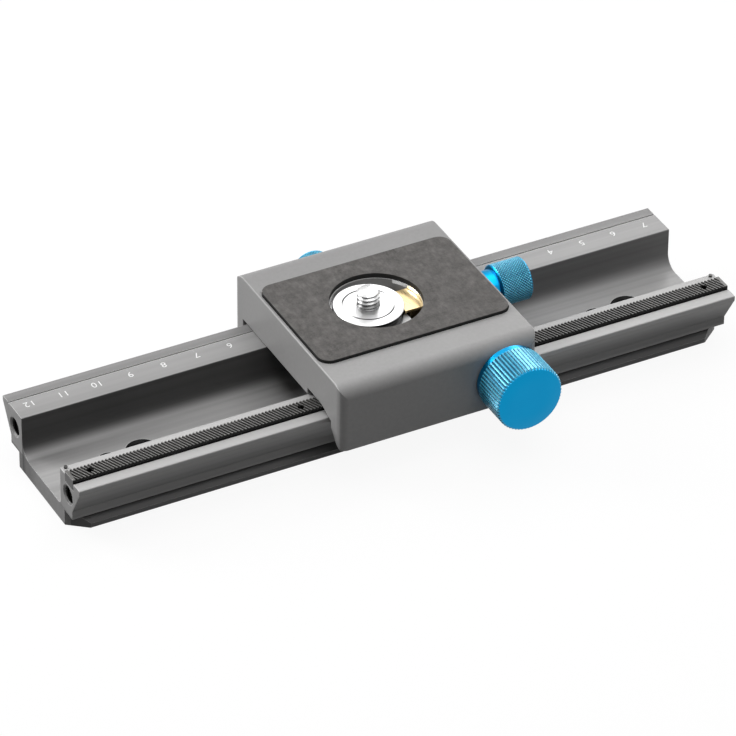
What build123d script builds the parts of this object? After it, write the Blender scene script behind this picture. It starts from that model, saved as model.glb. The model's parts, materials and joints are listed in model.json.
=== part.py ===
from build123d import *
from math import acos, atan, cos, degrees, pi, radians, sin, tan
import os

# Macro focusing rail, in millimetres.
# X runs right along the rail, Y runs away from the focus knob, Z runs up.
# The origin is the middle of the rail's underside.
os.makedirs("parts", exist_ok=True)

# Clearances
RUNNING = 0.05  # radial, between a shaft and its hole
SLIDING = 0.06  # between flat ways
FREE = 0.3  # between faces that pass each other without guiding
CLOSE = 0.02  # between faces that push on each other
OVERCUT = 1.0  # how far a cut runs past the face it leaves through

# Rail section
RAIL_LENGTH = 200.0
RAIL_TOP = 17.5
RAIL_HALF = 24.4
RAIL_EDGE = 0.3
RAIL_FACET = 1.4
LIP_WIDTH = 3.8
LAND_WIDTH = 3.15
FLANK_ANGLE = 30.0
LEDGE_HEIGHT = 5.0
LEDGE_FACET = 2.6
FOOT_INSET = 5.4
FOOT_FACET = 1.5
FOOT_UNDERCUT = 3.0
FOOT_CHAMFER = 0.15
FOOT_BEVEL_X = 5.7
FOOT_BEVEL_Y = 4.5
CHANNEL_FLOOR = 5.4
CHANNEL_REAR_FILLET = 4.5
CHANNEL_FRONT_FILLET = 1.5
RACK_SLOT_WIDTH = 5.3
RACK_SLOT_NEAR = RAIL_HALF - LIP_WIDTH - RACK_SLOT_WIDTH
CHANNEL_HALF = RACK_SLOT_NEAR - LAND_WIDTH
FOOT_HALF = RAIL_HALF - FOOT_INSET
FACET_LOW = RAIL_TOP - RAIL_FACET
LEDGE_TOP = LEDGE_HEIGHT + LEDGE_FACET
FLANK_SLOPE = tan(radians(FLANK_ANGLE))
LEDGE_HALF = RAIL_HALF - (FACET_LOW - LEDGE_TOP) * FLANK_SLOPE
WAIST_HALF = FOOT_HALF - FOOT_UNDERCUT

# Index line on the rear wall's top
LINE_Y = RAIL_HALF - LIP_WIDTH
LINE_WIDTH = 0.55
LINE_DEPTH = 0.4

# Threaded holes in the channel floor, and in the two end faces
SMALL_TAP_R = 2.55
SMALL_THREAD_R = 3.175
LARGE_TAP_R = 4.0
LARGE_THREAD_R = 4.76
HOLE_INSET = 20.0
HOLE_OUTER_X = RAIL_LENGTH / 2 - HOLE_INSET
HOLE_SPACING = 10.0
END_TAP_R = 2.5
END_THREAD_R = 3.0
END_TAP_DEPTH = 12.0
END_TAP_INSET = 7.4
END_TAP_LEVEL = 5.9
END_TAP_Y = RAIL_HALF - END_TAP_INSET
END_TAP_Z = RAIL_TOP - END_TAP_LEVEL
TAP_SINK_ANGLE = 90.0

# Rack
RACK_SLOT_DEPTH = 2.3
RACK_SLOT_FLOOR = RAIL_TOP - RACK_SLOT_DEPTH
RACK_WIDTH = 5.0
RACK_PROUD = 1.0
RACK_PLAIN_END = 0.8
NORMAL_MODULE = 0.3
NORMAL_PRESSURE = 20.0
HELIX = 24.0
ADDENDUM = 0.3
DEDENDUM = 0.375
RACK_TIP = RAIL_TOP + RACK_PROUD
RACK_PITCH_Z = RACK_TIP - ADDENDUM
RACK_ROOT = RACK_PITCH_Z - DEDENDUM
RACK_FAR = -RACK_SLOT_NEAR - RUNNING
RACK_NEAR = RACK_FAR - RACK_WIDTH
RACK_Y = (RACK_FAR + RACK_NEAR) / 2
HELIX_SLOPE = tan(radians(HELIX))
MODULE = NORMAL_MODULE / cos(radians(HELIX))
PRESSURE = atan(tan(radians(NORMAL_PRESSURE)) / cos(radians(HELIX)))
TOOTH_PITCH = pi * MODULE
SPARE_TEETH = 4  # drawn past the rack's ends, then cut off

# Screws that hold the rack
RACK_SCREW_COUNT = 4
RACK_SCREW_INSET = 6.25
RACK_SCREW_SPACING = (RAIL_LENGTH - 2 * RACK_SCREW_INSET) / (RACK_SCREW_COUNT - 1)
RACK_SCREW_HEAD_R = 1.0
RACK_SCREW_SHANK_R = 0.6
RACK_SCREW_SUNK = 1.8
RACK_SCREW_HEAD = 0.8
RACK_SCREW_LENGTH = 1.4
RACK_SCREW_TOP = RACK_TIP - RACK_SCREW_SUNK
RACK_SCREW_NECK = RACK_SCREW_TOP - RACK_SCREW_HEAD
RACK_SCREW_TIP = RACK_SCREW_NECK - RACK_SCREW_LENGTH

# Stop pins in the rail's ends
STOP_PIN_R = 0.5
STOP_PIN_INSET = 1.3
STOP_PIN_SETBACK = 0.95
STOP_PIN_Y = -CHANNEL_HALF - STOP_PIN_SETBACK
STOP_PIN_PROUD = 0.6
STOP_PIN_DEEP = 3.5

# Carriage
CARRIAGE_X = 3.4
CARRIAGE_LENGTH = 60.0
JAW_ROOM = 2.2
JAW_WALL = 5.4
JAW_HEIGHT = 6.7
DECK_HEIGHT = 13.8
JAW_HALF = RAIL_HALF + JAW_ROOM
CARRIAGE_HALF = JAW_HALF + JAW_WALL
CARRIAGE_LOW = RAIL_TOP - JAW_HEIGHT
CARRIAGE_TOP = RAIL_TOP + DECK_HEIGHT
CORNER_RADIUS = 2.5
CROWN_REAR_RADIUS = 5.6
CROWN_FRONT_RADIUS = 3.8
END_RADIUS = 0.3
GLIDE_THICKNESS = 0.35
CEILING = RAIL_TOP + GLIDE_THICKNESS + RUNNING
RECESS_MARGIN = 2.8
RECESS_ROOM = 1.45
RECESS_FAR = RACK_SLOT_NEAR - RECESS_MARGIN
RECESS_NEAR = RACK_SLOT_NEAR + RACK_SLOT_WIDTH
RECESS_TOP = RACK_TIP + RECESS_ROOM
RELIEF_DEPTH = 3.2
RELIEF_SHOULDER = 0.9
RELIEF_RISE = 0.2
RELIEF_HEIGHT = 4.9
RELIEF_SPREAD = 4.3
RELIEF_SHOULDER_Y = JAW_HALF - RELIEF_SHOULDER
RELIEF_SHOULDER_Z = CEILING + RELIEF_RISE
RELIEF_JAW_Z = CARRIAGE_LOW + RELIEF_HEIGHT
RELIEF_LOW_Y = JAW_HALF + RELIEF_SPREAD
CARRIAGE_LEFT = CARRIAGE_X - CARRIAGE_LENGTH / 2
CARRIAGE_RIGHT = CARRIAGE_X + CARRIAGE_LENGTH / 2

# Grip pad on the camera platform
PAD_END_INSET = 1.15
PAD_SIDE_INSET = 12.3
PAD_LENGTH = CARRIAGE_LENGTH - 2 * PAD_END_INSET
PAD_HALF = CARRIAGE_HALF - PAD_SIDE_INSET
PAD_RADIUS = 3.5
PAD_PROUD = 0.88
PAD_SUNK = 0.6
PAD_GROOVE = 0.25
PAD_SEAT = CARRIAGE_TOP - PAD_SUNK
PAD_TOP = CARRIAGE_TOP + PAD_PROUD

# Guide strips, glides, gib screws and stop lugs
STRIP_RAISED = 0.4
STRIP_LOWERED = 0.1
STRIP_LOW = CARRIAGE_LOW + STRIP_RAISED
STRIP_TOP = FACET_LOW - STRIP_LOWERED
GIB_SCREW_R = 1.5
GIB_SCREW_SUNK = 1.0
GIB_SCREW_INSET = 5.8
GIB_SCREW_LENGTH = JAW_WALL - GIB_SCREW_SUNK
GIB_SCREW_Z = (STRIP_LOW + STRIP_TOP) / 2
GIB_SCREW_NEAR_X = 10.0
GIB_SCREW_FAR_X = CARRIAGE_LENGTH / 2 - RELIEF_DEPTH - GIB_SCREW_INSET
GIB_HEX_R = 0.85
GIB_HEX_DEPTH = 1.6
GLIDE_INSET = 0.8
GLIDE_REAR_SETBACK = 1.35
GLIDE_FRONT_SETBACK = 0.5
GLIDE_REAR_WIDTH = 6.0
GLIDE_FRONT_WIDTH = 3.0
GLIDE_LENGTH = CARRIAGE_LENGTH - 2 * (RELIEF_DEPTH + GLIDE_INSET)
GLIDE_REAR_Y = CHANNEL_HALF + GLIDE_REAR_SETBACK + GLIDE_REAR_WIDTH / 2
GLIDE_FRONT_Y = -RECESS_NEAR - GLIDE_FRONT_SETBACK - GLIDE_FRONT_WIDTH / 2
LUG_LENGTH = 3.0
LUG_WIDTH = 1.3
LUG_CLEAR = 0.25

# Opening for the camera disc, and the disc's place in it
OPENING_OFFSET = 2.65
OPENING_R = 12.7
OPENING_DEPTH = 6.1
PAD_HOLE_MARGIN = 0.2
PLATE_THICKNESS = 2.0
PLATE_CUT = 4.95
PLATE_SCREW_INSET = 6.95
PLATE_SCREW_SIDE = 5.2
PLATE_SCREW_R = 1.25
PLATE_SCREW_HEAD_R = 2.2
PLATE_SCREW_HEAD = 1.3
PLATE_SCREW_LENGTH = 6.0
OPENING_X = CARRIAGE_X - OPENING_OFFSET
OPENING_FLOOR = CARRIAGE_TOP - OPENING_DEPTH
PAD_HOLE_R = OPENING_R + PAD_HOLE_MARGIN
PLATE_REACH = OPENING_R - PLATE_CUT
PLATE_EDGE_X = OPENING_X + PLATE_REACH
PLATE_SCREW_X = OPENING_X - OPENING_R + PLATE_SCREW_INSET
PLATE_SCREW_Y = OPENING_R - PLATE_SCREW_SIDE
PLATE_TOP = OPENING_FLOOR + PLATE_THICKNESS

# Camera disc
DISC_OFFSET = 2.5
DISC_PROUD = 0.3
DISC_RIM = 1.3
DISC_RIM_WIDTH = 1.0
DISC_CONE = 0.4
DISC_WAIST = 1.3
DISC_FOOT_INSET = 0.3
DISC_R = OPENING_R - DISC_OFFSET - FREE
DISC_WAIST_R = DISC_R - DISC_RIM_WIDTH
DISC_FOOT_R = DISC_R - DISC_FOOT_INSET
DISC_X = OPENING_X - DISC_OFFSET
DISC_TOP = CARRIAGE_TOP + DISC_PROUD
DISC_WAIST_TOP = DISC_TOP - DISC_RIM - DISC_CONE
DISC_WAIST_LOW = DISC_WAIST_TOP - DISC_WAIST
DISC_FOOT_TOP = DISC_WAIST_LOW - DISC_CONE
DISC_GROOVE_INSET = 2.8
DISC_GROOVE_R = DISC_R - DISC_GROOVE_INSET
DISC_GROOVE_WIDTH = 0.3
DISC_GROOVE_DEPTH = 0.25
DISC_EDGE = 0.3
DISC_LOW = PLATE_TOP + RUNNING

# Camera stud with its head, its snap ring and the seats for both in the disc
STUD_R = 3.175
STUD_PROUD = 4.9
STUD_CHAMFER = 0.7
STUD_NECK_R = 2.9
STUD_NECK_PROUD = 0.1
STUD_HEAD_R = 6.0
STUD_HEAD = 1.1
STUD_HEAD_DEEP = 2.6
STUD_HEAD_TOP = DISC_TOP - STUD_HEAD_DEEP
COIN_SLOT_WIDTH = 1.4
COIN_SLOT_DEPTH = 0.7
SNAP_RING = 0.36
SNAP_RING_IN_R = 5.4
SNAP_RING_OUT_R = 6.65
SNAP_GROOVE_R = 6.7
SNAP_GROOVE = 0.4
SNAP_GROOVE_RAISED = 0.2
SNAP_GROOVE_LOW = DISC_LOW + SNAP_GROOVE_RAISED
SNAP_GROOVE_TOP = SNAP_GROOVE_LOW + SNAP_GROOVE

# Fixed jaw and clamp shoe, which hold the disc between them
LIP_RAISED = 0.15
LIP_THICKNESS = 0.75
SHOE_HALF = 4.75
SHOE_GAP = 0.75
SHOE_LENGTH = 10.5
SHOE_HEIGHT = 7.0
SHOE_SLOT_GAP = 0.1
SHOE_NOSE_GAP = 0.1
SHOE_RAISED = 0.2
CLAMP_TRAVEL = 1.6
SLOT_END_ROOM = 0.4
COVER_GAP = 0.15
COVER_MARGIN = 3.85
COVER_END = 1.0
COVER_SCREW_INSET = 5.4
COVER_SCREW_SIDE = 1.9
COVER_SCREW_R = 0.8
COVER_SCREW_HEAD_R = 1.3
COVER_SCREW_HEAD = 0.5
COVER_SCREW_LENGTH = 4.0
LIP_LOW = DISC_WAIST_LOW + LIP_RAISED
LIP_TOP = LIP_LOW + LIP_THICKNESS
JAW_EDGE_X = OPENING_X - PLATE_REACH
SHOE_LEFT = DISC_X + DISC_R + SHOE_GAP
SHOE_RIGHT = SHOE_LEFT + SHOE_LENGTH
SHOE_LOW = LIP_TOP - SHOE_HEIGHT
SLOT_RIGHT = SHOE_RIGHT + CLAMP_TRAVEL + SLOT_END_ROOM
SLOT_FLOOR = SHOE_LOW - SHOE_RAISED
COVER_LOW = LIP_TOP + COVER_GAP
COVER_HALF = SHOE_HALF + COVER_MARGIN
COVER_RIGHT = SLOT_RIGHT + COVER_END
COVER_SCREW_X = COVER_RIGHT - COVER_SCREW_INSET
COVER_SCREW_Y = COVER_HALF - COVER_SCREW_SIDE

# Clamp screw, its pins and its insert
CLAMP_LEVEL = 5.9
CLAMP_TIP_R = 1.9
CLAMP_TIP_LENGTH = 6.4
CLAMP_THREAD_R = 2.45
CLAMP_CORE_R = 2.8
CLAMP_IN_KNOB = 7.0
CLAMP_GROOVE_INSET = 3.4
CLAMP_GROOVE_WIDTH = 1.6
CLAMP_GROOVE_R = 1.1
CLAMP_PIN_R = 0.5
CLAMP_PIN_Y = 1.95
CLAMP_INSERT_LENGTH = 9.0
CLAMP_INSERT_R = 4.0
CLAMP_Z = CARRIAGE_TOP - CLAMP_LEVEL
CLAMP_GROOVE_X = SHOE_RIGHT - CLAMP_GROOVE_INSET

# Small knob, one on the clamp screw and one on the lock screw
SMALL_KNOB_R = 6.1
SMALL_KNOB_GRIP = 9.7
SMALL_KNOB_CHAMFER = 0.5
SMALL_NECK_R = 5.0
CLAMP_NECK = 3.2
CLAMP_NECK_GAP = 0.2
LOCK_NECK = 2.5
LOCK_NECK_GAP = 0.9

# Carriage lock
LOCK_LEVEL = 3.1
LOCK_SHOE_R = 1.5
LOCK_SHOE_REACH = 1.6
LOCK_TRAVEL = 0.7
LOCK_THREAD_R = 1.95
LOCK_CORE_R = 2.3
LOCK_CORE_SHOULDER = 0.7
LOCK_INSERT_SHOULDER = 2.0
LOCK_INSERT_R = 2.6
LOCK_IN_KNOB = 6.0
LOCK_X = CARRIAGE_X
LOCK_Z = CARRIAGE_LOW + LOCK_LEVEL
LOCK_SHOE_END = JAW_HALF + LOCK_SHOE_REACH
LOCK_CORE_START = JAW_HALF + LOCK_CORE_SHOULDER
LOCK_INSERT_START = JAW_HALF + LOCK_INSERT_SHOULDER

# Focus drive
PINION_TEETH = 14
PINION_MARGIN = 0.4
PINION_BACKLASH = 0.1
DRIVE_INSET = 9.4
DRIVE_JOURNAL_R = 1.8
DRIVE_CLEAR_R = 3.0
FRONT_BUSH_R = 4.0
FRONT_BUSH_SHOULDER = 0.2
INNER_BUSH_R = 2.6
INNER_BUSH_INSET = 0.5
INNER_BUSH_LENGTH = 3.4
RING_OUT_R = 2.6
RING_GROOVE_R = 1.4
RING_THICKNESS = 0.5
RING_GROOVE_WIDTH = 0.6
SHAFT_TAIL = 1.6
RING_POCKET_LENGTH = 2.2
RING_POCKET_HALF = 3.2
DRIVE_X = CARRIAGE_RIGHT - DRIVE_INSET
FRONT_BUSH_END = -JAW_HALF - FRONT_BUSH_SHOULDER
INNER_BUSH_START = -RECESS_FAR + INNER_BUSH_INSET
INNER_BUSH_END = INNER_BUSH_START + INNER_BUSH_LENGTH
SHAFT_END = INNER_BUSH_END + SHAFT_TAIL
RING_POCKET_END = INNER_BUSH_END + RING_POCKET_LENGTH
DRIVE_KNOB_R = 9.9
DRIVE_KNOB_LENGTH = 12.9
DRIVE_KNOB_GAP = 0.3
DRIVE_KNOB_CHAMFER = 0.5
DRIVE_KNOB_WALL = 2.2
KNURL_COUNT = 60
KNURL_SQUARE = 0.6
KNURL_TURN = 45.0
WASHER_R = 8.4
WASHER_THICKNESS = 0.26
GRUB_R = 1.5
GRUB_LENGTH = 4.0
GRUB_Y = 3.2
GRUB_HEX_R = 0.85
GRUB_HEX_DEPTH = 1.5
PINION_PITCH_R = PINION_TEETH * MODULE / 2
PINION_BASE_R = PINION_PITCH_R * cos(PRESSURE)
PINION_TIP_R = PINION_PITCH_R + ADDENDUM
PINION_ROOT_R = PINION_PITCH_R - DEDENDUM
PINION_NEAR = RACK_NEAR - PINION_MARGIN
PINION_FAR = RACK_FAR + PINION_MARGIN
PINION_LENGTH = PINION_FAR - PINION_NEAR
DRIVE_Z = RACK_PITCH_Z + PINION_PITCH_R
RING_POCKET_TOP = DRIVE_Z + RING_POCKET_HALF
DRIVE_KNOB_BACK = -CARRIAGE_HALF - DRIVE_KNOB_GAP
DRIVE_KNOB_FACE = DRIVE_KNOB_BACK - DRIVE_KNOB_LENGTH
SHAFT_START = DRIVE_KNOB_FACE + DRIVE_KNOB_WALL

# Axes that things turn about
DRIVE_AXIS = Axis((DRIVE_X, 0, DRIVE_Z), (0, 1, 0))
LOCK_AXIS = Axis((LOCK_X, 0, LOCK_Z), (0, 1, 0))
CLAMP_AXIS = Axis((0, 0, CLAMP_Z), (1, 0, 0))
DISC_AXIS = Axis((DISC_X, 0, 0), (0, 0, 1))

# Planes for half sections: the first direction runs along the axis, the second away from it
DRIVE_SECTION = Plane((DRIVE_X, 0, DRIVE_Z), x_dir=(0, 1, 0), z_dir=(1, 0, 0))
LOCK_SECTION = Plane((LOCK_X, 0, LOCK_Z), x_dir=(0, 1, 0), z_dir=(1, 0, 0))
CLAMP_SECTION = Plane((0, 0, CLAMP_Z), x_dir=(1, 0, 0), z_dir=(0, -1, 0))
DISC_SECTION = Plane((DISC_X, 0, 0), x_dir=(1, 0, 0), z_dir=(0, -1, 0))
LOW_CORNER = (Align.MIN, Align.MIN)
LEFT_MIDDLE = (Align.MIN, Align.CENTER)
RIGHT_MIDDLE = (Align.MAX, Align.CENTER)
MIDDLE_LOW = (Align.CENTER, Align.MIN)
MIDDLE_HIGH = (Align.CENTER, Align.MAX)


def across(x):
    """Plane square to the rail at a place along it, with Y to the right and Z up."""
    return Plane((x, 0, 0), x_dir=(0, 1, 0), z_dir=(1, 0, 0))


def facing_rear(x, y, z):
    """Plane square to Y through a point, facing away from the focus knob."""
    return Plane((x, y, z), x_dir=(1, 0, 0), z_dir=(0, 1, 0))


def corners_between(low, high):
    """Corners of the sketch being drawn whose heights lie between two levels."""
    return vertices().filter_by_position(Axis.Y, low - CLOSE, high + CLOSE)


def flank_half(z):
    """Half width of the rail between its slanted flanks at a height."""
    return LEDGE_HALF + (z - LEDGE_TOP) * FLANK_SLOPE


def involute(angle):
    """Polar angle of an involute where its pressure angle is the one given."""
    return tan(angle) - angle


def tooth_half_angle(radius):
    """Half the angle that a pinion tooth covers at a radius."""
    at_pitch = pi / (2 * PINION_TEETH) - PINION_BACKLASH / (2 * PINION_PITCH_R)
    local = acos(min(1, PINION_BASE_R / radius))
    return at_pitch + involute(PRESSURE) - involute(local)


# ---- Rail, the fixed body ----

with BuildPart() as rail:
    with BuildSketch(across(-RAIL_LENGTH / 2)):
        with BuildLine():
            Polyline(
                (0, 0),
                (FOOT_HALF - FOOT_CHAMFER, 0),
                (FOOT_HALF, FOOT_CHAMFER),
                (FOOT_HALF, FOOT_FACET),
                (WAIST_HALF, FOOT_FACET + FOOT_UNDERCUT),
                (WAIST_HALF, LEDGE_HEIGHT),
                (LEDGE_HALF, LEDGE_HEIGHT),
                (LEDGE_HALF, LEDGE_TOP),
                (RAIL_HALF, FACET_LOW),
                (RAIL_HALF, RAIL_TOP),
                (0, RAIL_TOP),
            )
            mirror(about=Plane.YZ)
        make_face()
        with Locations((0, CHANNEL_FLOOR)):
            Rectangle(2 * CHANNEL_HALF, RAIL_TOP, align=MIDDLE_LOW, mode=Mode.SUBTRACT)
        with Locations((-RACK_SLOT_NEAR, RACK_SLOT_FLOOR)):
            Rectangle(
                RACK_SLOT_WIDTH,
                RAIL_TOP,
                align=(Align.MAX, Align.MIN),
                mode=Mode.SUBTRACT,
            )
        fillet(corners_between(CHANNEL_FLOOR, CHANNEL_FLOOR).sort_by(Axis.X)[-1], CHANNEL_REAR_FILLET)
        fillet(corners_between(CHANNEL_FLOOR, CHANNEL_FLOOR).sort_by(Axis.X)[0], CHANNEL_FRONT_FILLET)
        fillet(corners_between(FACET_LOW, RAIL_TOP), RAIL_EDGE)
    extrude(amount=RAIL_LENGTH)
    with BuildSketch(across(-RAIL_LENGTH / 2)):
        with Locations((LINE_Y, RAIL_TOP - LINE_DEPTH)):
            Rectangle(LINE_WIDTH, RAIL_TOP, align=MIDDLE_LOW)
    extrude(amount=RAIL_LENGTH, mode=Mode.SUBTRACT)
    with BuildSketch(Plane.XY):
        with BuildLine():
            Polyline(
                (RAIL_LENGTH / 2, FOOT_HALF),
                (RAIL_LENGTH / 2 - FOOT_BEVEL_X, FOOT_HALF),
                (RAIL_LENGTH / 2, FOOT_HALF - FOOT_BEVEL_Y),
                close=True,
            )
        make_face()
        mirror(about=Plane.XZ)
        mirror(about=Plane.YZ)
    extrude(amount=LEDGE_HEIGHT, mode=Mode.SUBTRACT)
    with Locations(
        (-HOLE_OUTER_X, 0, CHANNEL_FLOOR),
        (-HOLE_SPACING / 2, 0, CHANNEL_FLOOR),
        (HOLE_OUTER_X - HOLE_SPACING, 0, CHANNEL_FLOOR),
    ):
        CounterSinkHole(SMALL_TAP_R, SMALL_THREAD_R, CHANNEL_FLOOR, TAP_SINK_ANGLE)
    with Locations(
        (-HOLE_OUTER_X + HOLE_SPACING, 0, CHANNEL_FLOOR),
        (HOLE_SPACING / 2, 0, CHANNEL_FLOOR),
        (HOLE_OUTER_X, 0, CHANNEL_FLOOR),
    ):
        CounterSinkHole(LARGE_TAP_R, LARGE_THREAD_R, CHANNEL_FLOOR, TAP_SINK_ANGLE)
    with Locations(
        Plane((RAIL_LENGTH / 2, END_TAP_Y, END_TAP_Z), z_dir=(1, 0, 0)),
        Plane((RAIL_LENGTH / 2, -END_TAP_Y, END_TAP_Z), z_dir=(1, 0, 0)),
        Plane((-RAIL_LENGTH / 2, END_TAP_Y, END_TAP_Z), z_dir=(-1, 0, 0)),
        Plane((-RAIL_LENGTH / 2, -END_TAP_Y, END_TAP_Z), z_dir=(-1, 0, 0)),
    ):
        CounterSinkHole(END_TAP_R, END_THREAD_R, END_TAP_DEPTH, TAP_SINK_ANGLE)
    with Locations((0, RACK_Y, RACK_SLOT_FLOOR)):
        with GridLocations(RACK_SCREW_SPACING, 1, RACK_SCREW_COUNT, 1):
            Hole(RACK_SCREW_SHANK_R, RACK_SLOT_FLOOR - RACK_SCREW_TIP)
    with Locations((0, STOP_PIN_Y, RAIL_TOP)):
        with GridLocations(RAIL_LENGTH - 2 * STOP_PIN_INSET, 1, 2, 1):
            Hole(STOP_PIN_R, STOP_PIN_DEEP)
rail.part.label = "rail"
export_step(rail.part, "parts/rail.step")

# A tooth space of the rack lies under the pinion's axis at the rack's middle.
tooth_count = int(RAIL_LENGTH / TOOTH_PITCH) + SPARE_TEETH
first_space = DRIVE_X + (RACK_Y - RACK_NEAR) * HELIX_SLOPE
first_space -= round((first_space + RAIL_LENGTH / 2) / TOOTH_PITCH + SPARE_TEETH / 2) * TOOTH_PITCH
tip_half = TOOTH_PITCH / 4 - ADDENDUM * tan(PRESSURE)
root_half = TOOTH_PITCH / 4 + DEDENDUM * tan(PRESSURE)
rack_outline = [(first_space, RACK_SLOT_FLOOR), (first_space, RACK_ROOT)]
for tooth in range(tooth_count):
    middle = first_space + (tooth + 0.5) * TOOTH_PITCH
    rack_outline += [
        (middle - root_half, RACK_ROOT),
        (middle - tip_half, RACK_TIP),
        (middle + tip_half, RACK_TIP),
        (middle + root_half, RACK_ROOT),
    ]
last_space = first_space + tooth_count * TOOTH_PITCH
rack_outline += [(last_space, RACK_ROOT), (last_space, RACK_SLOT_FLOOR)]

with BuildPart() as gear_rack:
    with BuildSketch(Plane.XZ.offset(-RACK_NEAR)):
        with BuildLine():
            Polyline(*rack_outline, close=True)
        make_face()
    helix_angle = radians(HELIX)
    extrude(
        amount=RACK_WIDTH / cos(helix_angle),
        dir=(-sin(helix_angle), cos(helix_angle), 0),
    )
    with Locations((0, RACK_Y, RACK_SLOT_FLOOR)):
        Box(
            RAIL_LENGTH - 2 * RACK_PLAIN_END,
            RACK_WIDTH,
            RACK_TIP,
            align=(Align.CENTER, Align.CENTER, Align.MIN),
            mode=Mode.INTERSECT,
        )
    with Locations((0, RACK_Y, RACK_SLOT_FLOOR)):
        with GridLocations(RAIL_LENGTH - RACK_PLAIN_END, 1, 2, 1):
            Box(
                RACK_PLAIN_END,
                RACK_WIDTH,
                RACK_TIP - RACK_SLOT_FLOOR,
                align=(Align.CENTER, Align.CENTER, Align.MIN),
            )
    with Locations((0, RACK_Y, RACK_TIP)):
        with GridLocations(RACK_SCREW_SPACING, 1, RACK_SCREW_COUNT, 1):
            CounterBoreHole(
                RACK_SCREW_SHANK_R,
                RACK_SCREW_HEAD_R,
                RACK_SCREW_SUNK + RACK_SCREW_HEAD,
                RACK_TIP - RACK_SLOT_FLOOR,
            )
gear_rack.part.label = "gear_rack"
export_step(gear_rack.part, "parts/gear_rack.step")

with BuildPart() as rack_screws:
    with BuildSketch(Plane.XY.offset(RACK_SCREW_TIP)):
        with Locations((0, RACK_Y)):
            with GridLocations(RACK_SCREW_SPACING, 1, RACK_SCREW_COUNT, 1):
                Circle(RACK_SCREW_SHANK_R)
    extrude(amount=RACK_SCREW_LENGTH)
    with BuildSketch(Plane.XY.offset(RACK_SCREW_NECK)):
        with Locations((0, RACK_Y)):
            with GridLocations(RACK_SCREW_SPACING, 1, RACK_SCREW_COUNT, 1):
                Circle(RACK_SCREW_HEAD_R)
    extrude(amount=RACK_SCREW_HEAD)
    with BuildSketch(Plane.XY.offset(RACK_SCREW_TOP)):
        with Locations((0, RACK_Y)):
            with GridLocations(RACK_SCREW_SPACING, 1, RACK_SCREW_COUNT, 1):
                RegularPolygon(RACK_SCREW_HEAD_R / 2, 6)
    extrude(amount=-RACK_SCREW_HEAD / 2, mode=Mode.SUBTRACT)
rack_screws.part.label = "rack_screws"
export_step(rack_screws.part, "parts/rack_screws.step")

with BuildPart() as stop_pins:
    with BuildSketch(Plane.XY.offset(RAIL_TOP - STOP_PIN_DEEP)):
        with Locations((0, STOP_PIN_Y)):
            with GridLocations(RAIL_LENGTH - 2 * STOP_PIN_INSET, 1, 2, 1):
                Circle(STOP_PIN_R)
    extrude(amount=STOP_PIN_DEEP + STOP_PIN_PROUD)
stop_pins.part.label = "stop_pins"
export_step(stop_pins.part, "parts/stop_pins.step")

# ---- Carriage ----

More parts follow.
